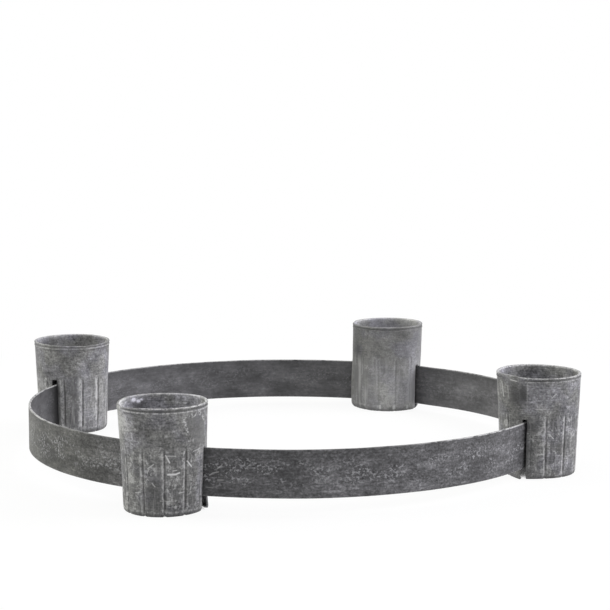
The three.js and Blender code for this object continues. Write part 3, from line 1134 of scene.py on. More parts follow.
@dataclass(frozen=True)
class WallPlaces:
    """Where the points of a cup's wall lie, in the cup's own terms; one number for each point."""

    radius: np.ndarray
    angle: np.ndarray
    height: np.ndarray
    facing: np.ndarray
    off_groove: np.ndarray
    off_slot: np.ndarray
    past_seam: np.ndarray
    edge_facing: float = -0.2

    @property
    def outside(self) -> np.ndarray:
        """Tells the outer face and the edges from the inner face."""
        return self.facing > self.edge_facing


@dataclass(frozen=True)
class Band:
    """A soft band: how strong it is, where its middle lies and how wide it is."""

    strength: float
    middle: float
    width: float

    def spread(self, distance: np.ndarray) -> np.ndarray:
        """Returns the band's strength along a distance."""
        return self.strength * bell(distance - self.middle, self.width)


@dataclass(frozen=True)
class Wear:
    """Where the wash on a cup is bare with wear and painted highlights, and where it is dark with painted
    shade, with patina in the grooves and the hem's hollow.
    """

    hem_from: float = -0.05
    hem_deep: float = 2.2
    rim_edge: Pair = (0.8, 0.94)
    rim_least: float = 0.45
    bead: Band = Band(0.85, 0.13, 0.11)
    groove_gap: float = 0.55
    groove_side: float = 0.7
    groove_far_side: Band = Band(0.3, 1.3, 0.4)
    groove_foot: Band = Band(0.8, 0, 1.1)
    groove_foot_rise: Band = Band(1.0, 0.3 * MM, 1.2 * MM)
    foot_line: float = 1.05
    foot_strength: float = 0.6
    foot_width: float = 0.55 * MM
    slot_edge: Band = Band(0.75, 0.3 * MM, 0.5 * MM)
    fold_edge: Band = Band(0.5, 1.8 * MM, 0.4 * MM)
    seam_edge: Band = Band(1.0, -0.3 * MM, 0.5 * MM)
    seam_heights: Pair = (46 * MM, 53 * MM)
    lip_strength: float = 0.2
    lip_depths: Pair = (3 * MM, 1 * MM)
    # Painted shade, with patina, in the grooves, set towards one side of each groove as if lit from the
    # other.
    groove_soot: Band = Band(0.7, 0.25, 0.4)
    # Painted shade, with patina, in the hem's hollow, and a painted shadow under the hem.
    hem_soot: Band = Band(1.0, 0.45, 0.17)
    under_hem_soot: Band = Band(0.75, -0.16, 0.13)
    # Painted shade in the crease of each slot's fold.
    fold_soot: Band = Band(0.7, 2.5 * MM, 0.35 * MM)
    # Painted shade beside the slots, where the strip passes into the cup.
    slot_shade_from: float = -1 * MM
    slot_shade_fade: float = 3 * MM
    # Painted shade on the turned-in foot.
    foot_soot: float = 0.6
    foot_shade_edge: Pair = (0.85, 0.3)
    pressed_edge: Pair = (5 * MM, -4 * MM)
    lit_shade: float = 3
    patch_foot: float = 3 * MM
    patch_top: float = 4 * MM


@dataclass
class CandleCup:
    """One cup: its grooved wall, which slides along the hoop, and the loose plate inside it."""

    name: str
    shape: CupShape
    groove_phase: float
    seam: Slot
    slot_edges: Pair = (178.0 * MM, 182.4 * MM)
    splay: tuple[tuple[Slot, float, float], ...] = ()
    slot_top: float = 40.3 * MM
    groove_share: float = 1.0
    groove_wear: float = 1.0
    rim_wear: float = 1.0
    rim_lifts: tuple[Triple, ...] = ()
    # Strength of the painted shade in and under the hem.
    hem_gap: Pair = (0.0, 0.0)
    hem_soot: float = 1.0
    foot_wear: float = 1.0
    shoulder: float = 0.55
    bulges: tuple[Zone, ...] = ()
    slot_wear: float = 0.0
    # Painted shade beside each slot, outwards and inwards.
    slot_soot: Pair = (0.0, 0.0)
    seam_shift: float = 0.0
    seam_wear: float = 0.3
    notch_share: float = 1.0
    zones: tuple[Zone, ...] = ()
    blots: tuple[Zone, ...] = ()
    # Painted shade on the inner face, with some patina.
    inner_shade_and_patina: tuple[Zone, ...] = ()
    # Tones of the inner face; on the front cup they are painted light and a painted highlight.
    inner_zones: tuple[Zone, ...] = ()
    spots: tuple[Zone, ...] = ()
    patch: Slot | None = None
    patch_width: Pair = (20, 36)
    patch_heights: Pair = (42 * MM, 55 * MM)
    patch_fade: float = 7 * MM
    splay_length: float = 16 * MM
    splay_rise: float = 1.3
    splay_fade: float = 1.5
    wear: Wear = Wear()
    plate_sides: int = 96
    plate_rim: Pair = (2, 0.6)
    plate_sink: float = 0.25
    plate_edge: float = 0.2
    plate_rings: int = 3
    plate_ring: float = 0.22
    flap_lift: float = 0.0
    lap_step: float = 0.55 * MM
    lap_width: float = 42
    dent: float = 0.7 * MM
    dent_grain: float = 34 * MM
    mottle: float = 0.16 * MM
    mottle_grain: float = 4.5 * MM
    axis_radius: float = field(init=False)
    station: float = field(init=False)
    plate_low: float = field(init=False)
    plate_high: float = field(init=False)
    plate_radius: float = field(init=False)

    def __post_init__(self) -> None:
        """Reads the cup's place from the solid of its plate."""
        low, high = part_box(f"cup_{self.name}_plate")
        middle = (low + high) / 2
        self.axis_radius = math.hypot(middle.x, middle.y)
        self.station = math.atan2(middle.y, middle.x)
        self.plate_low = low.z
        self.plate_high = high.z
        self.plate_radius = (high.x - low.x) / 2

    @property
    def slot_radius(self) -> float:
        """Distance from the hoop's axis to the middle of a slot."""
        return sum(self.slot_edges) / 2

    @property
    def slot_width(self) -> float:
        """Width of a slot across the strip."""
        return self.slot_edges[1] - self.slot_edges[0]

    @property
    def slot_turn(self) -> float:
        """Angle about the hoop's axis from the cup's axis to its slots."""
        wall = self.shape.wall_radius(self.shape.slot_top / 2) - self.shape.sheet / 2
        square = self.slot_radius ** 2 + self.axis_radius ** 2 - wall ** 2
        return math.acos(square / (2 * self.slot_radius * self.axis_radius))

    @property
    def slot_angle(self) -> float:
        """Angle about the cup's axis from its outward side to a slot."""
        turn = self.slot_turn
        return math.atan2(
            self.slot_radius * math.sin(turn), self.slot_radius * math.cos(turn) - self.axis_radius,
        )

    def grooves(self) -> list[float]:
        """Returns the angles of the grooves, without those that would run into a slot."""
        shape = self.shape
        pitch = 2 * math.pi / shape.groove_count
        room = (self.slot_width + shape.groove_width) / 2 + shape.groove_to_slot
        kept = []
        for number in range(shape.groove_count):
            angle = math.radians(self.groove_phase) + number * pitch
            folded = abs(math.atan2(math.sin(angle), math.cos(angle)))
            if abs(folded - self.slot_angle) * shape.foot_radius >= room:
                kept.append(angle)
        return kept

    def places(self, wall: Piece) -> WallPlaces:
        """Gives the points of the wall in the cup's own terms.

        Args:
            wall: the wall where it stands.

        Returns:
            Radius and angle about the cup's axis from its outward side, height, how far a point faces
            outwards, distance from the nearest groove in half widths of it, distance outwards from the
            edge of the nearest slot, and angle past the seam towards the cup's inward side.
        """
        points = points_of(wall)
        normals = points_of(wall, "normal")
        x = points[:, 0] - self.axis_radius * math.cos(self.station)
        y = points[:, 1] - self.axis_radius * math.sin(self.station)
        radius = np.hypot(x, y)
        angle = wrapped(np.arctan2(y, x) - self.station)
        nearest = np.full(angle.shape, math.pi)
        for groove in self.grooves():
            off = wrapped(angle - groove)
            nearest = np.where(np.abs(off) < np.abs(nearest), off, nearest)
        return WallPlaces(
            radius=radius,
            angle=angle,
            height=points[:, 2],
            facing=(normals[:, 0] * x + normals[:, 1] * y) / radius,
            off_groove=nearest * self.shape.foot_radius / (self.shape.groove_width / 2),
            off_slot=(self.slot_angle - np.abs(angle)) * radius - self.slot_width / 2,
            past_seam=wrapped(self.past_slot(angle, self.seam) + self.seam_shift / self.shape.foot_radius),
        )

    def past_slot(self, angle: np.ndarray, slot: Slot) -> np.ndarray:
        """Returns the angle from a slot towards the cup's inward side; below 0 it is outwards."""
        return wrapped(angle * slot.value - self.slot_angle)

    def press_grooves(self, wall: Piece) -> None:
        """Presses the grooves into both faces of the wall, and pinches the foot where they reach it."""
        shape = self.shape
        at = self.places(wall)
        across = np.clip(1 - np.abs(at.off_groove), 0, 1)
        at_top = np.clip((shape.groove_top - at.height) / shape.groove_run_out, 0, 1)
        at_foot = np.clip(at.height / shape.sheet, 0, 1)
        weights = across * at_top * at_foot
        press(wall, weights * (at.facing > 0), -shape.groove_depth * self.groove_share)
        press(wall, weights * (at.facing < 0), shape.ridge_height)
        pinch = np.clip(1 - np.abs(at.off_groove) / shape.notch_width, 0, 1)
        pinch = pinch * np.clip(1 - at.height / shape.notch_reach, 0, 1)
        press(wall, pinch, shape.notch_height * self.notch_share, Push.UP)

    def lap_seam(self, wall: Piece) -> None:
        """Laps the sheet at its seam: the outward end stands proud and the inward end has a flat hem."""
        shape = self.shape
        at = self.places(wall)
        past = at.past_seam
        width = math.radians(self.lap_width)
        proud = np.where(past < 0, np.clip(1 + past / width, 0, 1), 0) ** 2
        clear = rise(at.height, 0, shape.corner) * rise(at.height, shape.height, shape.hem_foot)
        press(wall, proud * clear * np.clip(at.facing, 0, 1), self.lap_step)
        press(wall, proud * clear * np.clip(-at.facing, 0, 1), -self.lap_step)
        set_in = np.where(past >= 0, np.clip(shape.lap_steepness * (1 - past / width), 0, 1), 0)
        hem = at.height > shape.hem_foot
        press(wall, set_in * hem * (at.facing > 0), -shape.lap_set_in * shape.hem_proud)
        press(wall, set_in * hem, -shape.lap_drop * shape.hem_proud, Push.UP)

    def fold_slots(self, wall: Piece) -> None:
        """Folds the sheet back along the outward edge of each slot."""
        shape = self.shape
        at = self.places(wall)
        low = rise(at.height, self.slot_top + shape.fold_width, self.slot_top)
        low = low * rise(at.height, 0, shape.corner)
        fold = rise(at.off_slot, *(end * shape.fold_width for end in shape.fold_inner))
        fold = fold * rise(at.off_slot, *(end * shape.fold_width for end in shape.fold_outer))
        press(wall, fold * low * (at.facing > 0), shape.fold_proud)
        middle, width = (share * shape.fold_width for share in shape.fold_line)
        line = bell(at.off_slot - middle, width)
        press(wall, line * low * (at.facing > 0), -shape.fold_sunk * shape.fold_proud)

    def splay_slots(self, wall: Piece) -> None:
        """Bends the foot of the wall away from the cup along the strip, beside some of the slots."""
        shape = self.shape
        at = self.places(wall)
        low = np.clip(1 - at.height / self.slot_top, 0, 1) ** self.splay_rise
        for slot, outward, inward in self.splay:
            past = self.past_slot(at.angle, slot) * at.radius
            reach = np.where(past > 0, inward, outward)
            near = np.clip(1 - np.abs(past) / self.splay_length, 0, 1) ** self.splay_fade
            weights = near * low * reach / max(outward, inward)
            turn = self.station + slot.value * self.slot_turn
            way = slot.value * max(outward, inward)
            press(wall, weights, -way * math.sin(turn), Push.ACROSS)
            press(wall, weights, way * math.cos(turn), Push.FORWARD)
            if self.flap_lift:
                press(wall, weights * (past > 0), self.flap_lift, Push.UP)

    def lift_rim(self, wall: Piece) -> None:
        """Bends the rim up or down in places, as it was left by hand."""
        at = self.places(wall)
        high = rise(at.height, self.slot_top, self.shape.height)
        for turn, lift, spread in self.rim_lifts:
            side = bell(wrapped(at.angle - math.radians(turn)), math.radians(spread))
            press(wall, side * high, lift, Push.UP)

    def fill_hem(self, wall: Piece) -> None:
        """Fills the hem's hollow where the hem is hammered flat."""
        at = self.places(wall)
        share = (at.height - self.shape.hem_foot) / self.shape.hem_height
        hollow = bell(share - self.shape.hem_hollow_at, self.shape.hem_hollow_width)
        weights = hollow * (1 - self.hem_shown(at)) * (at.facing > 0)
        press(wall, weights, self.shape.hem_hollow)

    def hem_shown(self, at: WallPlaces) -> np.ndarray:
        """Returns 0 where the hem is hammered flat and 1 elsewhere."""
        turn, reach = self.hem_gap
        if not reach:
            return np.ones(at.angle.shape)
        off = np.abs(wrapped(at.angle - math.radians(turn)))
        return rise(off, *(end * math.radians(reach) for end in self.shape.hem_gap_edge))

    def bulge(self, wall: Piece) -> None:
        """Presses the wall outwards in places."""
        at = self.places(wall)
        for zone in self.bulges:
            weights = replace(zone, tone=1.0).spread(at.angle, at.height)
            turn = self.station + math.radians(zone.turn)
            press(wall, weights, zone.tone * MM * math.cos(turn), Push.ACROSS)
            press(wall, weights, zone.tone * MM * math.sin(turn), Push.FORWARD)

    def slot_cutters(self) -> list[Piece]:
        """Makes a cutter with rounded top corners for each slot, where the strip passes through the wall."""
        shape = self.shape
        reach = CUT_REACH * (shape.corner + shape.flat + self.slot_width)
        deep = 2 * shape.corner
        cutters = []
        for slot in Slot:
            deselect_all()
            bpy.ops.mesh.primitive_cube_add(size=1, calc_uvs=False)
            cutter = bpy.context.object
            cutter.scale = (self.slot_width, reach, self.slot_top + deep)
            cutter.location.z = (self.slot_top - deep) / 2
            bpy.ops.object.transform_apply(location=True, rotation=True, scale=True)
            edit_points(cutter, points_of(cutter)[:, 2] > 0)
            bpy.ops.mesh.select_mode(type="EDGE")
            bpy.ops.object.mode_set(mode="OBJECT")
            for edge in cutter.data.edges:
                ends = [cutter.data.vertices[point].co for point in edge.vertices]
                edge.select = all(end.z > 0 for end in ends) and abs(ends[0].y - ends[1].y) > MERGE
            bpy.ops.object.mode_set(mode="EDIT")
            bpy.ops.mesh.bevel(offset=shape.slot_corner, segments=shape.slot_corner_steps)
            bpy.ops.object.mode_set(mode="OBJECT")
            set_place(cutter, self.slot_radius, self.station + slot.value * self.slot_turn)
            cutters.append(cutter)
        return cutters

    def paint_wear(self, wall: Piece) -> None:
        """Paints where the wall shows wear and painted highlights, painted shade with patina in its recesses,
        its patch, painted shade, and where it is pressed, for its finish.
        """
        shape = self.shape
        wear = self.wear
        at = self.places(wall)
        proud = at.radius - shape.wall_radius(at.height)
        below = np.clip((shape.groove_top + shape.groove_run_out - at.height) / shape.groove_run_out, 0, 1)
        share = (at.height - shape.hem_foot) / shape.hem_height
        on_hem = (share > wear.hem_from) & (proud > -wear.hem_deep * shape.sheet)
        shown = self.hem_shown(at)
        beside_slot = at.height < self.slot_top + shape.fold_width
        grooved = below * (at.height > shape.corner)
        groove_wear = self.groove_wear * grooved * at.outside
        slot_wear = self.slot_wear * beside_slot * at.outside
        foot_edge = (end * shape.corner for end in wear.foot_shade_edge)
        rim_shown = wear.rim_least + (1 - wear.rim_least) * shown
        shoulder = bell(at.off_groove + wear.groove_gap + self.shoulder, self.shoulder)
        foot = bell(at.height - wear.foot_line * shape.corner, wear.foot_width)
        groove_foot = wear.groove_foot_rise.spread(at.height - shape.corner)
        seam = wear.seam_edge.spread(at.past_seam * at.radius) * (at.past_seam < 0)
        lip = rise(at.height, *(shape.height - depth for depth in wear.lip_depths))
        worn = [
            self.rim_wear * rise(share, *wear.rim_edge) * on_hem * rim_shown,
            self.rim_wear * wear.bead.spread(share) * on_hem * at.outside * shown,
            # One shoulder of each groove is made paler than the other: wear with painted light from that
            # side.
            wear.groove_side * shoulder * groove_wear,
            wear.groove_far_side.spread(at.off_groove) * groove_wear,
            wear.foot_strength * self.foot_wear * foot * at.outside,
            wear.groove_foot.spread(at.off_groove) * groove_foot * at.outside,
            wear.slot_edge.spread(at.off_slot) * slot_wear,
            wear.fold_edge.spread(at.off_slot) * slot_wear,
            self.seam_wear * seam * rise(at.height, *wear.seam_heights) * at.outside,
            wear.lip_strength * lip * ~at.outside,
            self.tones_of(self.spots, at) * ~at.outside,
        ]
        # Painted shade, with patina in the grooves and the hem's hollow: in the grooves, in and under the
        # hem, in the folds' creases, at the foot and beside the slots.
        recess = [
            self.groove_share * wear.groove_soot.spread(at.off_groove) * grooved * at.outside,
            self.hem_soot * wear.hem_soot.spread(share) * on_hem * at.outside * shown,
            self.hem_soot * wear.under_hem_soot.spread(share) * at.outside * shown,
            wear.fold_soot.spread(at.off_slot) * beside_slot * at.outside,
            wear.foot_soot * rise(at.height, *foot_edge) * at.outside,
        ]
        # Painted shade beside the slots, fading away from their edges.
        for strength, off in zip(self.slot_soot, (at.off_slot, -at.off_slot - self.slot_width)):
            fading = rise(off, wear.slot_shade_from, 0) * np.exp(-np.maximum(off, 0) / wear.slot_shade_fade)
            recess.append(strength * fading * beside_slot * at.outside)
        paint(wall, Layer.WORN, np.maximum.reduce(worn))
        paint(wall, Layer.RECESS, np.maximum.reduce(recess))
        paint(wall, Layer.PATCH, self.bare_patch(at))
        # Tones of the inner face, which on the front cup are painted light and a painted highlight; where
        # they are pale they clear the painted shade.
        inner_tones = self.tones_of(self.inner_zones, at)
        lit = np.where(at.outside, 1, np.clip(1 - wear.lit_shade * inner_tones, 0, 1))
        pressed = rise(at.height, *(shape.groove_top + end for end in wear.pressed_edge))
        paint(wall, Layer.TONE, np.where(at.outside, self.tones_of(self.zones, at), inner_tones))
        paint(wall, Layer.SHADE, self.shade(at) * lit)
        paint(wall, Layer.PRESSED, pressed * at.outside)
        paint(wall, Layer.INSIDE, ~at.outside)

    def tones_of(self, spots: tuple[Zone, ...], at: WallPlaces) -> np.ndarray:
        """Adds up the tones of several soft spots on the wall."""
        return sum((spot.spread(at.angle, at.height) for spot in spots), np.zeros(at.angle.shape))

    def bare_patch(self, at: WallPlaces) -> np.ndarray:
        """Returns the even patch beside one slot, if the cup has one: one half at its ragged edge."""
        if self.patch is None:
            return np.zeros(at.angle.shape)
        shape = self.shape
        narrow, wide = (math.radians(width) for width in self.patch_width)
        width = narrow + (wide - narrow) * rise(at.height, *self.patch_heights)
        ahead = -self.past_slot(at.angle, self.patch)
        field_ = MIDDLE + (width - ahead) * at.radius / self.patch_fade
        level = rise(at.height, shape.groove_top, shape.groove_top + self.wear.patch_foot)
        level = level * rise(at.height, shape.hem_foot, shape.hem_foot - self.wear.patch_top)
        return np.clip(field_, 0, 1) * (ahead > 0) * level * at.outside

    def shade(self, at: WallPlaces) -> np.ndarray:
        """Returns the dark blots inwards of the seam and the painted shade, with some patina, on the inner
        face.
        """
        seam_side = (at.past_seam > 0) * at.outside
        shade = np.zeros(at.angle.shape)
        for blot in self.blots:
            shade = np.maximum(shade, blot.spread(at.angle, at.height) * seam_side)
        # Painted shade on the inner face, with some patina.
        for inner_shade_spot in self.inner_shade_and_patina:
            shade = np.maximum(shade, inner_shade_spot.spread(at.angle, at.height) * ~at.outside)
        return shade

    def build_wall(self, plain: Piece, material: Material) -> Piece:
        """Turns a copy of the plain wall into this cup's wall.

        Args:
            plain: the wall at the origin that every cup copies.
            material: the wall's finish.

        Returns:
            The finished wall.
        """
        wall = plain.copy()
        wall.data = plain.data.copy()
        wall.name = f"{self.name}_cup_wall"
        bpy.context.collection.objects.link(wall)
        set_place(wall, 0, math.radians(self.groove_phase))
        set_place(wall, self.axis_radius, self.station)
        self.press_grooves(wall)
        self.lap_seam(wall)
        self.fold_slots(wall)
        self.splay_slots(wall)
        self.bulge(wall)
        self.fill_hem(wall)
        self.lift_rim(wall)
        roughen(wall, self.dent_grain, self.dent, Push.ACROSS)
        roughen(wall, self.dent_grain, self.dent, Push.FORWARD)
        at = self.places(wall)
        inner = rise(at.height, 0, self.shape.corner)
        inner = inner * rise(at.height, self.shape.height, self.shape.hem_foot)
        roughen(wall, self.mottle_grain, self.mottle, Push.NORMAL, inner)
        cut_away(wall, self.slot_cutters())
        self.paint_wear(wall)
        at = self.places(wall)
        radius = self.shape.foot_radius
        lay_map(wall, Chart.WALL, at.angle * radius, at.height, TURN * radius)
        smooth(wall)
        fit_out(wall, material, f"cup_{self.name}", f"cup_{self.name}_wall")
        return wall

    def build_plate(self, material: Material) -> Piece:
        """Models the loose candle plate: a disc with a turned-up rim and a round edge.

        Args:
            material: the plate's finish.

        Returns:
            The finished plate.
        """
        thickness = self.plate_high - self.plate_low
        deselect_all()
        bpy.ops.mesh.primitive_cylinder_add(
            vertices=self.plate_sides, radius=self.plate_radius, depth=thickness,
            location=(0, 0, (self.plate_low + self.plate_high) / 2), calc_uvs=False,
        )
        plate = bpy.context.object
        plate.name = f"{self.name}_cup_plate"
        bpy.ops.object.transform_apply(location=True, rotation=True, scale=True)
        upper = points_of(plate)[:, 2] > self.plate_high - MERGE
        edit_points(plate, upper)
        bpy.ops.mesh.select_mode(type="FACE")
        for width in self.plate_rim:
            bpy.ops.mesh.inset(thickness=width * thickness)
        bpy.ops.transform.translate(value=(0, 0, -self.plate_sink * thickness))
        for _ring in range(self.plate_rings):
            bpy.ops.mesh.inset(thickness=self.plate_ring * self.plate_radius)
        bpy.ops.object.mode_set(mode="OBJECT")
        round_edges(plate, self.plate_edge * thickness)
        set_place(plate, self.axis_radius, self.station)
        smooth(plate)
        fit_out(plate, material, f"plate_{self.name}", f"cup_{self.name}_plate")
        return plate


@dataclass
class Hoop:
    """The flat strip bent round, with its ends lapped inside one cup, and its two rivets."""

    lap_station: float
    radius: float = 179.25 * MM
    thickness: float = 1.5 * MM
    height: float = 30 * MM
    rise: float = 2.5 * MM
    lap_length: float = 36 * MM
    lap_gap: float = 0.3 * MM
    joggle: float = 24 * MM
    hole_radius: float = 3.5 * MM
    hole_sides: int = 32
    inner_wear: float = 0.5
    edge_round: float = 0.3 * MM
    wave: float = 0.45 * MM
    wave_grain: float = 60 * MM
    rows: int = 20
    spin_steps: int = 260
    lap_steps: int = 16
    # Painted shade on the strip beside the cups, partly sooty: station in degrees, hold and reach in
    # millimetres, strength.
    soot: tuple[tuple[float, float, float, float], ...] = (
        (-81.5, 0, 16, 0.7), (-98, 0, 5, 0.4), (82, 0, 5, 0.6), (97, 0, 6, 0.8), (187.2, 4.6, 3, 1.0),
        (187, 0, 15, 0.85), (-5.5, 0, 4, 0.35),
    )
    # Painted highlights on the strip's top edge, partly wear: station in degrees and reach; the next number
    # is the wear and painted highlight all round.
    worn_ends: tuple[Pair, ...] = ((205, 28), (230, 9), (-12, 26))
    edge_wear_and_glint: float = 0.12
    zones: tuple[Zone, ...] = (
        Zone(-124, 10, 13, 12, -0.2), Zone(-108, 6, 8, 8, -0.1), Zone(-65.5, 20, 3, 12, -0.1),
        Zone(-46, 12, 3, 8, -0.08), Zone(-57, 24, 5, 8, -0.14), Zone(-70, 25, 4, 7, -0.09),
        Zone(-16, 10, 10, 12, -0.08), Zone(-12.6, 21.5, 1.3, 5, 0.2), Zone(-24, 15, 9, 20, -0.07),
        Zone(-127, 14, 5, 14, -0.12), Zone(-117, 26, 8, 5, -0.1), Zone(-131, 8, 5, 7, -0.08),
    )
    middle: float = field(init=False)

    def __post_init__(self) -> None:
        """Reads the height of the strip's middle from its solid."""
        low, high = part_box("hoop_strip")
        self.middle = (low.z + high.z) / 2

    @property
    def layer(self) -> float:
        """Distance from one layer of the lap to the other."""
        return self.thickness + self.lap_gap

    @property
    def start(self) -> float:
        """Angle at which the strip's inner end begins."""
        return self.lap_station - self.lap_length / 2 / self.radius

    @property
    def tilt(self) -> float:
        """Angle by which the hoop lies higher in front than behind."""
        return math.asin(self.rise / (self.radius + self.thickness / 2))

    def set_over(self, along: float) -> float:
        """How far the strip is set over outwards, at a length along it."""
        to_lap = TURN * self.radius - along
        share = min(1.0, max(0.0, to_lap / self.joggle))
        return self.layer * (1 - share * share * (3 - 2 * share))

    def model_strip(self) -> Piece:
        """Draws the strip's section round the hoop and over its own beginning, level about the origin.

        Returns:
            The mesh object.
        """
        deselect_all()
        bpy.ops.mesh.primitive_grid_add(
            x_subdivisions=2, y_subdivisions=self.rows, size=1, location=(self.radius, 0, 0),
            rotation=(math.pi / 2, 0, 0), calc_uvs=False,
        )
        strip = bpy.context.object
        strip.name = "hoop_rolled_strip"
        bpy.ops.object.transform_apply(location=True, rotation=True, scale=True)
        bpy.ops.object.mode_set(mode="EDIT")
        bpy.ops.mesh.select_all(action="SELECT")
        bpy.ops.transform.resize(
            value=(self.thickness, 1, self.height), center_override=(self.radius, 0, 0),
        )
        bpy.ops.object.mode_set(mode="OBJECT")
        set_place(strip, 0, self.start)
        bpy.ops.object.mode_set(mode="EDIT")
        bpy.ops.mesh.select_all(action="SELECT")
        plain = TURN * self.radius - self.joggle
        bpy.ops.mesh.spin(
            steps=self.spin_steps, angle=plain / self.radius, center=(0, 0, 0), axis=(0, 0, -1),
        )
        stride = (self.joggle + self.lap_length) / self.lap_steps
        reached = self.radius
        for step in range(1, self.lap_steps + 1):
            wanted = self.radius + self.set_over(plain + step * stride)
            grow = wanted / reached
            bpy.ops.mesh.extrude_region_move(TRANSFORM_OT_translate={"value": (0, 0, 0)})
            bpy.ops.transform.rotate(
                value=-stride / self.radius, orient_axis="Z", center_override=(0, 0, 0),
            )
            bpy.ops.transform.resize(value=(grow, grow, 1), center_override=(0, 0, 0))
            reached = wanted
        bpy.ops.mesh.select_all(action="SELECT")
        bpy.ops.mesh.remove_doubles(threshold=MERGE)
        bpy.ops.mesh.normals_make_consistent(inside=False)
        bpy.ops.object.mode_set(mode="OBJECT")
        return strip

    def rivet_holes(self) -> list[Piece]:
        """Makes the cutters for the rivets' holes through both layers of the lap."""
        out = self.radius + self.layer / 2
        boxes = [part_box(node) for node in RIVETS]
        heights = [(low.z + high.z) / 2 for low, high in boxes]
        level = sum(heights) / len(heights)
        cutters = []
        for height in heights:
            place = (out * math.cos(self.lap_station), out * math.sin(self.lap_station), height - level)
            deselect_all()
            bpy.ops.mesh.primitive_cylinder_add(
                vertices=self.hole_sides, radius=self.hole_radius, depth=CUT_REACH * self.layer,
                location=place, rotation=(0, math.pi / 2, self.lap_station), calc_uvs=False,
            )
            cutters.append(bpy.context.object)
        return cutters

    def chart_strip(self, strip: Piece) -> None:
        """Lays the strip's map, with the inner face a turn further on, and paints painted shade, partly
        sooty, beside the cups.
        """
        points = points_of(strip)
        normals = points_of(strip, "normal")
        radius = np.hypot(points[:, 0], points[:, 1])
        inner = (normals[:, 0] * points[:, 0] + normals[:, 1] * points[:, 1]) / radius < 0
        angle = np.arctan2(points[:, 1], points[:, 0])
        turned = (angle - self.start) % TURN
        lapped = (radius > self.radius + self.layer / 2) & (turned < math.pi)
        turn = TURN * self.radius
        along = (turned + self.start) * self.radius + turn * lapped + 2 * turn * inner
        lay_map(strip, Chart.STRIP, along, points[:, 2] + self.height / 2, turn)
        # Painted shade beside the cups, partly sooty.
        soot = np.zeros(angle.shape)
        for station, hold, reach, strength in self.soot:
            off = np.abs(wrapped(angle - math.radians(station))) * self.radius - hold * MM
            soot = np.maximum(soot, strength * np.exp(-np.maximum(off, 0) / (reach * MM)))
        paint(strip, Layer.SOOT, soot)
        # Top edge bright with wear and painted highlights.
        worn = np.full(angle.shape, self.edge_wear_and_glint)
        for station, reach in self.worn_ends:
            off = np.abs(wrapped(angle - math.radians(station)))
            worn = np.maximum(worn, bell(off, math.radians(reach)))
        inner_worn_and_glint = self.inner_wear + (1 - self.inner_wear) * worn
        paint(strip, Layer.WORN, np.where(inner, inner_worn_and_glint, worn))
        paint(strip, Layer.INSIDE, inner)
        height = points[:, 2] + self.height / 2
        paint(strip, Layer.TONE, ~inner * sum(zone.spread(angle, height) for zone in self.zones))

    def lie_down(self, strip: Piece) -> None:
        """Tilts the level strip as it lies in the slots, with its place kept in its mesh."""
        pick(strip)
        strip.location = (0, 0, self.middle)
        strip.rotation_euler = (-self.tilt, 0, 0)
        bpy.ops.object.transform_apply(location=True, rotation=True, scale=True)

    def build(self, strip_wash: Material, rivet_wash: Material, rivets: list) -> None:
        """Builds the strip and dresses it and the rivets.

        Args:
            strip_wash: the strip's finish.
            rivet_wash: the rivets' finish.
            rivets: the rivets' own objects, which stay as they are.
        """
        strip = self.model_strip()
        round_edges(strip, self.edge_round)
        roughen(strip, self.wave_grain, self.wave, Push.UP)
        cut_away(strip, self.rivet_holes())
        self.chart_strip(strip)
        self.lie_down(strip)
        smooth(strip)
        fit_out(strip, strip_wash, "hoop", "hoop_strip")
        for rivet in rivets:
            rivet.data.materials.clear()
            rivet.data.materials.append(rivet_wash)


@dataclass(frozen=True)
class Lamp:
    """One soft rectangular lamp."""

    name: str
    place: Triple
    aim: Triple
    width: float
    height: float
    power: float
    colour: Triple = (1.0, 1.0, 1.0)

    def build(self) -> None:
        """Sets the lamp up, facing its aim."""
        bpy.ops.object.light_add(type="AREA", location=self.place)
        lamp = bpy.context.object
        lamp.name = self.name
        lamp.data.shape = "RECTANGLE"
        lamp.data.size = self.width
        lamp.data.size_y = self.height
        lamp.data.energy = self.power
        lamp.data.color = self.colour
        lamp.rotation_euler = (lamp.location - Vector(self.aim)).to_track_quat("Z", "Y").to_euler()


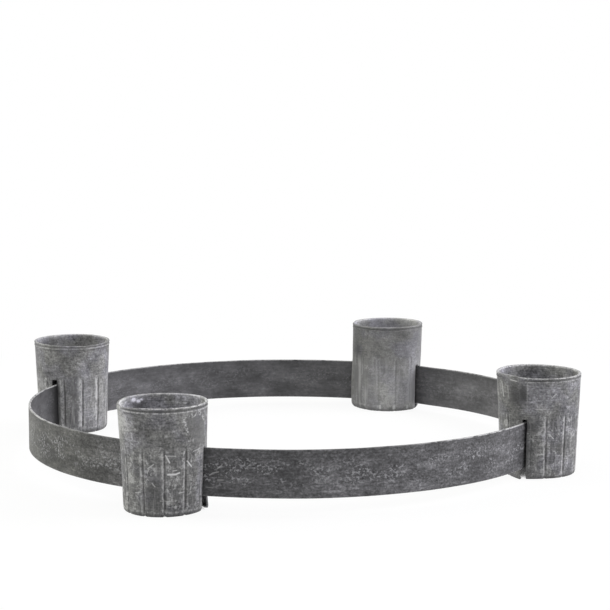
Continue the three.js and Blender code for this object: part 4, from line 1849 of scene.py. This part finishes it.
@dataclass(frozen=True)
class Studio:
    """The floor, the soft light and the camera."""

    camera_place: Triple = (521.0 * MM, -1113.6 * MM, 268.9 * MM)
    camera_pitch: float = 7.68
    camera_heading: float = 24.49
    camera_roll: float = -0.19
    lens: float = 104.93
    floor_size: float = 60.0
    floor_shadow: float = 0.1
    shadow_reach: Pair = (0.3, 0.5)
    shelter_reach: float = 60 * MM
    shelter_open: Pair = (0.0, 0.06)
    shelter_dark: float = 0.02
    sky: float = 0.5
    paper: Colour = (0.9, 0.9, 0.9, 1.0)
    sensor: float = 36
    sight: float = 200

    def shoot_from(self) -> None:
        """Sets the camera up at the photograph's place."""
        level = Euler((math.radians(90 - self.camera_pitch), 0, math.radians(self.camera_heading)))
        rolled = level.to_quaternion() @ Quaternion((0, 0, 1), math.radians(self.camera_roll))
        bpy.ops.object.camera_add(location=self.camera_place, rotation=rolled.to_euler())
        camera = bpy.context.object
        camera.data.lens = self.lens
        camera.data.sensor_width = self.sensor
        camera.data.clip_end = self.sight
        bpy.context.scene.camera = camera

    def seen(self, nodes: Nodes) -> Socket:
        """Gives 1 for rays that show the background, and 0 for rays that light the object."""
        rays = nodes.node("LightPath").outputs
        return nodes.most(*(rays[f"Is {kind} Ray"] for kind in ("Camera", "Glossy", "Transmission")))

    def shadow_share(self, shader: Shader) -> Socket:
        """Gives how far the floor shows its shadow: near the object only, so that it ends in plain white."""
        away = shader.vector("LENGTH", shader.node("TexCoord").outputs["Object"])
        return shader.span(shader.step(away, *self.shadow_reach), self.floor_shadow, 0)

    def open_share(self, shader: Shader) -> Socket:
        """Gives how bright the floor is shown: dark where it is shut in inside a cup, white in the open."""
        shelter = shader.node("AmbientOcclusion")
        shader.feed(shelter.inputs["Distance"], self.shelter_reach)
        return shader.span(shader.step(shelter.outputs["AO"], *self.shelter_open), self.shelter_dark, 1)

    def lay_floor(self) -> None:
        """Lays a white floor that keeps a faint shadow of the object."""
        bpy.ops.mesh.primitive_plane_add(size=self.floor_size)
        floor = bpy.context.object
        floor.name = "studio_floor"
        shader = Shader("studio_white")
        paper = shader.node("BsdfDiffuse")
        shader.feed(paper.inputs["Color"], self.paper)
        white = shader.node("Emission")
        shader.feed(white.inputs["Strength"], self.open_share(shader))
        shown = shader.either(self.shadow_share(shader), white.outputs[0], paper.outputs[0])
        surface = shader.either(self.seen(shader), paper.outputs[0], shown)
        floor.data.materials.append(shader.show(surface))

    def hang_sky(self) -> None:
        """Surrounds the set with even white light, and shows it as plain white."""
        world = bpy.data.worlds.new("studio_sky")
        world.use_nodes = True
        bpy.context.scene.world = world
        nodes = Nodes(world.node_tree)
        lights = []
        for strength in (self.sky, 1.0):
            light = nodes.node("Background")
            nodes.feed(light.inputs["Color"], WHITE)
            nodes.feed(light.inputs["Strength"], strength)
            lights.append(light.outputs[0])
        nodes.feed(nodes.node("OutputWorld").inputs["Surface"], nodes.either(self.seen(nodes), *lights))

    def build(self) -> None:
        """Sets up the whole studio."""
        deselect_all()
        self.shoot_from()
        self.lay_floor()
        self.hang_sky()
        aim = (0.0, 0.0, 0.03)
        lamps = [
            Lamp("left_window", (-1.5, -0.35, 0.8), aim, 1.2, 1.2, 17.5, (1.0, 1.0, 0.9)),
            Lamp("right_window", (1.4, 0.7, 0.8), aim, 1.2, 1.2, 28.0, (0.95, 0.94, 1.0)),
            Lamp("top_window", (0.0, 0.0, 1.8), aim, 1.4, 1.4, 8.0),
        ]
        for lamp in lamps:
            lamp.build()
        bpy.context.scene.view_settings.view_transform = "Standard"
        log.info("studio: camera, floor, sky and %d lamps", len(lamps))


FRONT_SCRATCHES = (
    Scratch((34.8, 26.6), (46.0, 26.4), 1.0, 0.8 * MM),
    Scratch((44.0, 26.4), (50.5, 27.2), 1.0, 0.7 * MM),
    Scratch((32.1, 38.3), (37.0, 33.9), 0.9, 0.6 * MM),
    Scratch((62.1, 33.8), (68.8, 30.1), 0.9, 0.6 * MM),
    Scratch((33.3, 38.0), (45.3, 37.7), 0.5),
    Scratch((7.7, 30.2), (15.9, 32.9), 0.6),
    Scratch((50.2, 14.7), (57.7, 15.1), 0.6),
    Scratch((41.5, 28.7), (46.5, 28.9), 0.6),
    Scratch((-13.0, 14.4), (-4.3, 15.2), 0.5),
    Scratch((13.4, 21.3), (17.1, 19.1), 0.5),
    Scratch((71.5, 39.2), (84.4, 40.1), 0.5),
    Scratch((24.0, 10.4), (41.2, 9.8), 0.35),
    Scratch((57, 59.5), (66, 61.5), 0.6, 1.8 * MM, True),
    Scratch((66, 61.5), (84, 62.2), 0.6, 2.2 * MM, True),
    Scratch((88, 61.0), (97, 54.5), 0.55, 2.2 * MM, True),
    Scratch((57.5, 59), (60.5, 53.5), 0.6, 1.5 * MM, True),
    Scratch((60.5, 53.5), (66, 44), 0.6, 1.3 * MM, True),
)
RIGHT_SCRATCHES = (
    Scratch((-59.7, 29.9), (-52.9, 26.9), 0.65),
    Scratch((-73.1, 16.4), (-66.8, 16.7), 0.6),
    Scratch((-57.2, 54.0), (-50.9, 56.7), 0.55),
    Scratch((-80.3, 46.6), (-65.6, 46.9), 0.3),
    Scratch((-136.0, 62.0), (-133.0, 53.0), 0.55, 0.8 * MM),
    Scratch((-117.0, 65.0), (-107.0, 64.4), 0.7, 0.6 * MM),
    Scratch((-123.0, 60.5), (-121.0, 52.0), 0.3),
)
BACK_SCRATCHES = (
    Scratch((-170.0, 2.8), (-170.0, 4.6), 0.7, 1.4 * MM),
    Scratch((-144.5, 2.6), (-144.5, 4.0), 0.7, 1.8 * MM),
    Scratch((-118.0, 2.4), (-118.0, 3.8), 0.6, 1.6 * MM),
)
STRIP_SCRATCHES = (
    Scratch((279.8, 13.2), (280.4, 14.6), 0.4),
    Scratch((280.4, 14.6), (281.6, 15.5), 0.4),
    Scratch((281.4, 17.5), (282.2, 19.6), 0.35),
    Scratch((281.4, 10.5), (282.5, 10.6), 0.35),
    Scratch((279.0, 5.7), (280.4, 5.4), 0.25),
)
PALE_LIP = Zone(0, 66.0, 400, 1.6, 0.08)


def candle_cups(shape: CupShape) -> list[CandleCup]:
    """Describes the four cups, which were made by hand and differ a little.

    Args:
        shape: the sizes that they share.

    Returns:
        The cups in the order in which they are built.
    """
    low_hem = replace(shape, hem_height=3.0 * MM)
    round_foot = replace(shape, corner=4.4 * MM, corner_inset=2.4 * MM, inner_inset=1.6 * MM)
    return [
        CandleCup(
            "front", shape, groove_phase=0, seam=Slot.COUNTER, slot_edges=(178.0 * MM, 180.9 * MM),
            splay=((Slot.COUNTER, 0.4 * MM, 4.6 * MM),), patch=Slot.COUNTER,
            inner_shade_and_patina=(Zone(-117, 61.0, 16, 6, 1.0),),
            # Painted light inside the front cup: the inner wall that faces the right lamp made paler, and a
            # bright spot near the far rim, a painted highlight with some wear.
            inner_zones=(
                Zone(-72, 62, 16, 9, 0.32), Zone(-108, 64.0, 4.5, 0.9, 0.75), Zone(-116, 62.5, 3, 0.9, 0.7),
                Zone(-121, 63.5, 2.5, 0.6, 0.5),
            ),
            lap_step=0.3 * MM, slot_wear=0.7, notch_share=0.85, hem_gap=(-54, 26), flap_lift=2.0 * MM,
            rim_lifts=((-155, -0.5 * MM, 60), (-48, -1.5 * MM, 34)),
            zones=(
                Zone(18, 8, 14, 10, -0.28), Zone(82, 22, 10, 12, 0.22), Zone(-48, 57, 16, 10, 0.26),
                Zone(8, 48, 18, 8, -0.1), Zone(58, 44, 12, 8, -0.13), Zone(60, 28, 9, 8, -0.1),
                Zone(-13, 25, 8, 6, -0.1), Zone(-26, 58, 12, 7, 0.22),
                Zone(44, 31, 6, 4, -0.14), Zone(75, 38, 6, 5, -0.12), Zone(-20, 22, 6, 14, 0.09),
                Zone(-6, 22, 4, 14, -0.08), Zone(87, 22, 4, 14, 0.15),
            ),
        ),
        CandleCup(
            "right", low_hem, groove_phase=-4, seam=Slot.CLOCKWISE, slot_edges=(178.2 * MM, 181.6 * MM),
            splay=((Slot.CLOCKWISE, 3.4 * MM, 6.4 * MM),), slot_top=39.4 * MM, slot_soot=(0.7, 0.7),
            seam_shift=1.2 * MM, seam_wear=0.5, rim_wear=0.8, foot_wear=0.2, notch_share=0.3,
            rim_lifts=((150, 0.7 * MM, 60), (-120, 1.0 * MM, 22)), hem_gap=(-121, 26),
            blots=(Zone(-98, 57, 8, 8, 1.2), Zone(-110, 55, 15, 10, 1.0)), inner_zones=(PALE_LIP,),
            # A pale spot inside near the far rim: a painted glint on a pale drip.
            spots=(Zone(64.5, 61.5, 5, 2.5, 0.6),),
            zones=(
                Zone(-132, 48, 14, 18, -0.1), Zone(-65, 34, 8, 8, 0.28), Zone(-91, 52, 5, 8, 0.08),
                Zone(-80, 6, 6, 4, 0.2), Zone(-80, 54, 5, 6, 0.1), Zone(-60, 20, 2.5, 18, 0.12),
                Zone(-38, 49, 9, 9, -0.09), Zone(-50, 38, 7, 5, -0.16), Zone(-56, 61, 8, 4, 0.1),
            ),
        ),
        CandleCup(
            "back", round_foot, groove_phase=7.5, seam=Slot.COUNTER, groove_share=0.4, lap_step=0.25 * MM,
            splay=((Slot.COUNTER, 0.5 * MM, 3.4 * MM), (Slot.CLOCKWISE, 0.2 * MM, 1.2 * MM)),
            slot_top=35.4 * MM, rim_wear=0.15, groove_wear=0.35, seam_wear=0, notch_share=0.4, foot_wear=0.3,
            bulges=(Zone(116, 14, 26, 26, 2.7), Zone(112, 62, 28, 13, -0.6)),
            inner_shade_and_patina=(Zone(62, 61, 26, 12, 0.7),), inner_zones=(PALE_LIP,),
            zones=(
                Zone(138, 33, 24, 45, -0.3), Zone(124, 24, 11, 22, -0.25), Zone(-109, 15, 14, 22, 0.42),
                Zone(-160, 15, 22, 20, 0.2), Zone(-142, 9, 22, 7, 0.15), Zone(147, 22, 4, 20, -0.25),
                Zone(-100, 18, 7, 20, 0.2),
                Zone(-155, 52, 12, 8, 0.1), Zone(-127, 60, 14, 3, -0.15),
            ),
        ),
        CandleCup(
            "left", round_foot, groove_phase=-10.5, seam=Slot.CLOCKWISE, slot_edges=(178.2 * MM, 182.4 * MM),
            lap_step=0.25 * MM, slot_top=40.8 * MM, rim_wear=0.55, slot_soot=(0.0, 0.75), groove_wear=1.35,
            shoulder=1.2, hem_soot=0.6, foot_wear=0.2, rim_lifts=((150, -1.2 * MM, 60),), notch_share=0.5,
            inner_shade_and_patina=(Zone(-17, 61, 24, 9, 0.7),), inner_zones=(PALE_LIP,),
            zones=(
                Zone(140, 33, 10, 30, 0.16), Zone(-172, 40, 24, 40, 0.1), Zone(106, 28, 6, 14, 0.08),
                Zone(122, 13, 9, 7, -0.3), Zone(152, 9, 14, 6, 0.1), Zone(80, 38, 9, 8, -0.16),
                Zone(126, 55, 16, 8, 0.08), Zone(117, 22, 3, 18, 0.2), Zone(126, 22, 4.5, 18, -0.14),
            ),
        ),
    ]


def cup_washes(radius: float) -> dict[str, ZincWash]:
    """Describes the finish of each cup by the cup's name.

    Args:
        radius: radius that the walls' maps are laid at.

    Returns:
        The finishes.
    """
    return {
        "front": ZincWash("front_zinc_wash", radius, FRONT_SCRATCHES, lit=grey(2.25, VIOLET)),
        "right": ZincWash("right_zinc_wash", radius, RIGHT_SCRATCHES, lit=grey(1.65, VIOLET)),
        "back": ZincWash(
            "back_zinc_wash", radius, BACK_SCRATCHES, contrast=0.55, lower=0.22, streaky=0.55,
            streak=3.2 * MM, lit=grey(2.5, VIOLET),
        ),
        "left": ZincWash(
            "left_zinc_wash", radius, contrast=0.9, lower=0.18, streaky=0.7, lit=grey(1.8, VIOLET),
        ),
    }


def main() -> None:
    """Builds the studio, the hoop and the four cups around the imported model."""
    logging.basicConfig(level=logging.INFO, format="%(message)s")
    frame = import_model()
    Studio().build()

    shape = CupShape()
    cups = candle_cups(shape)
    lapped_in = next(cup for cup in cups if cup.name == "back")
    hoop = Hoop(lapped_in.station)
    rivet_wash = PlainWash("rivet_wash", grey(0.08), grey(0.15)).make()
    strip_wash = RolledStrip(hoop.height, hoop.radius, STRIP_SCRATCHES).make()
    hoop.build(strip_wash, rivet_wash, [frame["nodes"][name] for name in RIVETS])

    plate_wash = PlainWash("plate_wash", grey(0.1), grey(0.17)).make()
    plains = {kind: kind.model() for kind in dict.fromkeys(cup.shape for cup in cups)}
    washes = cup_washes(shape.foot_radius)
    for cup in cups:
        cup.build_wall(plains[cup.shape], washes[cup.name].make())
        cup.build_plate(plate_wash)
    for plain in plains.values():
        bpy.data.objects.remove(plain)
    deselect_all()


if __name__ == "__main__":
    main()
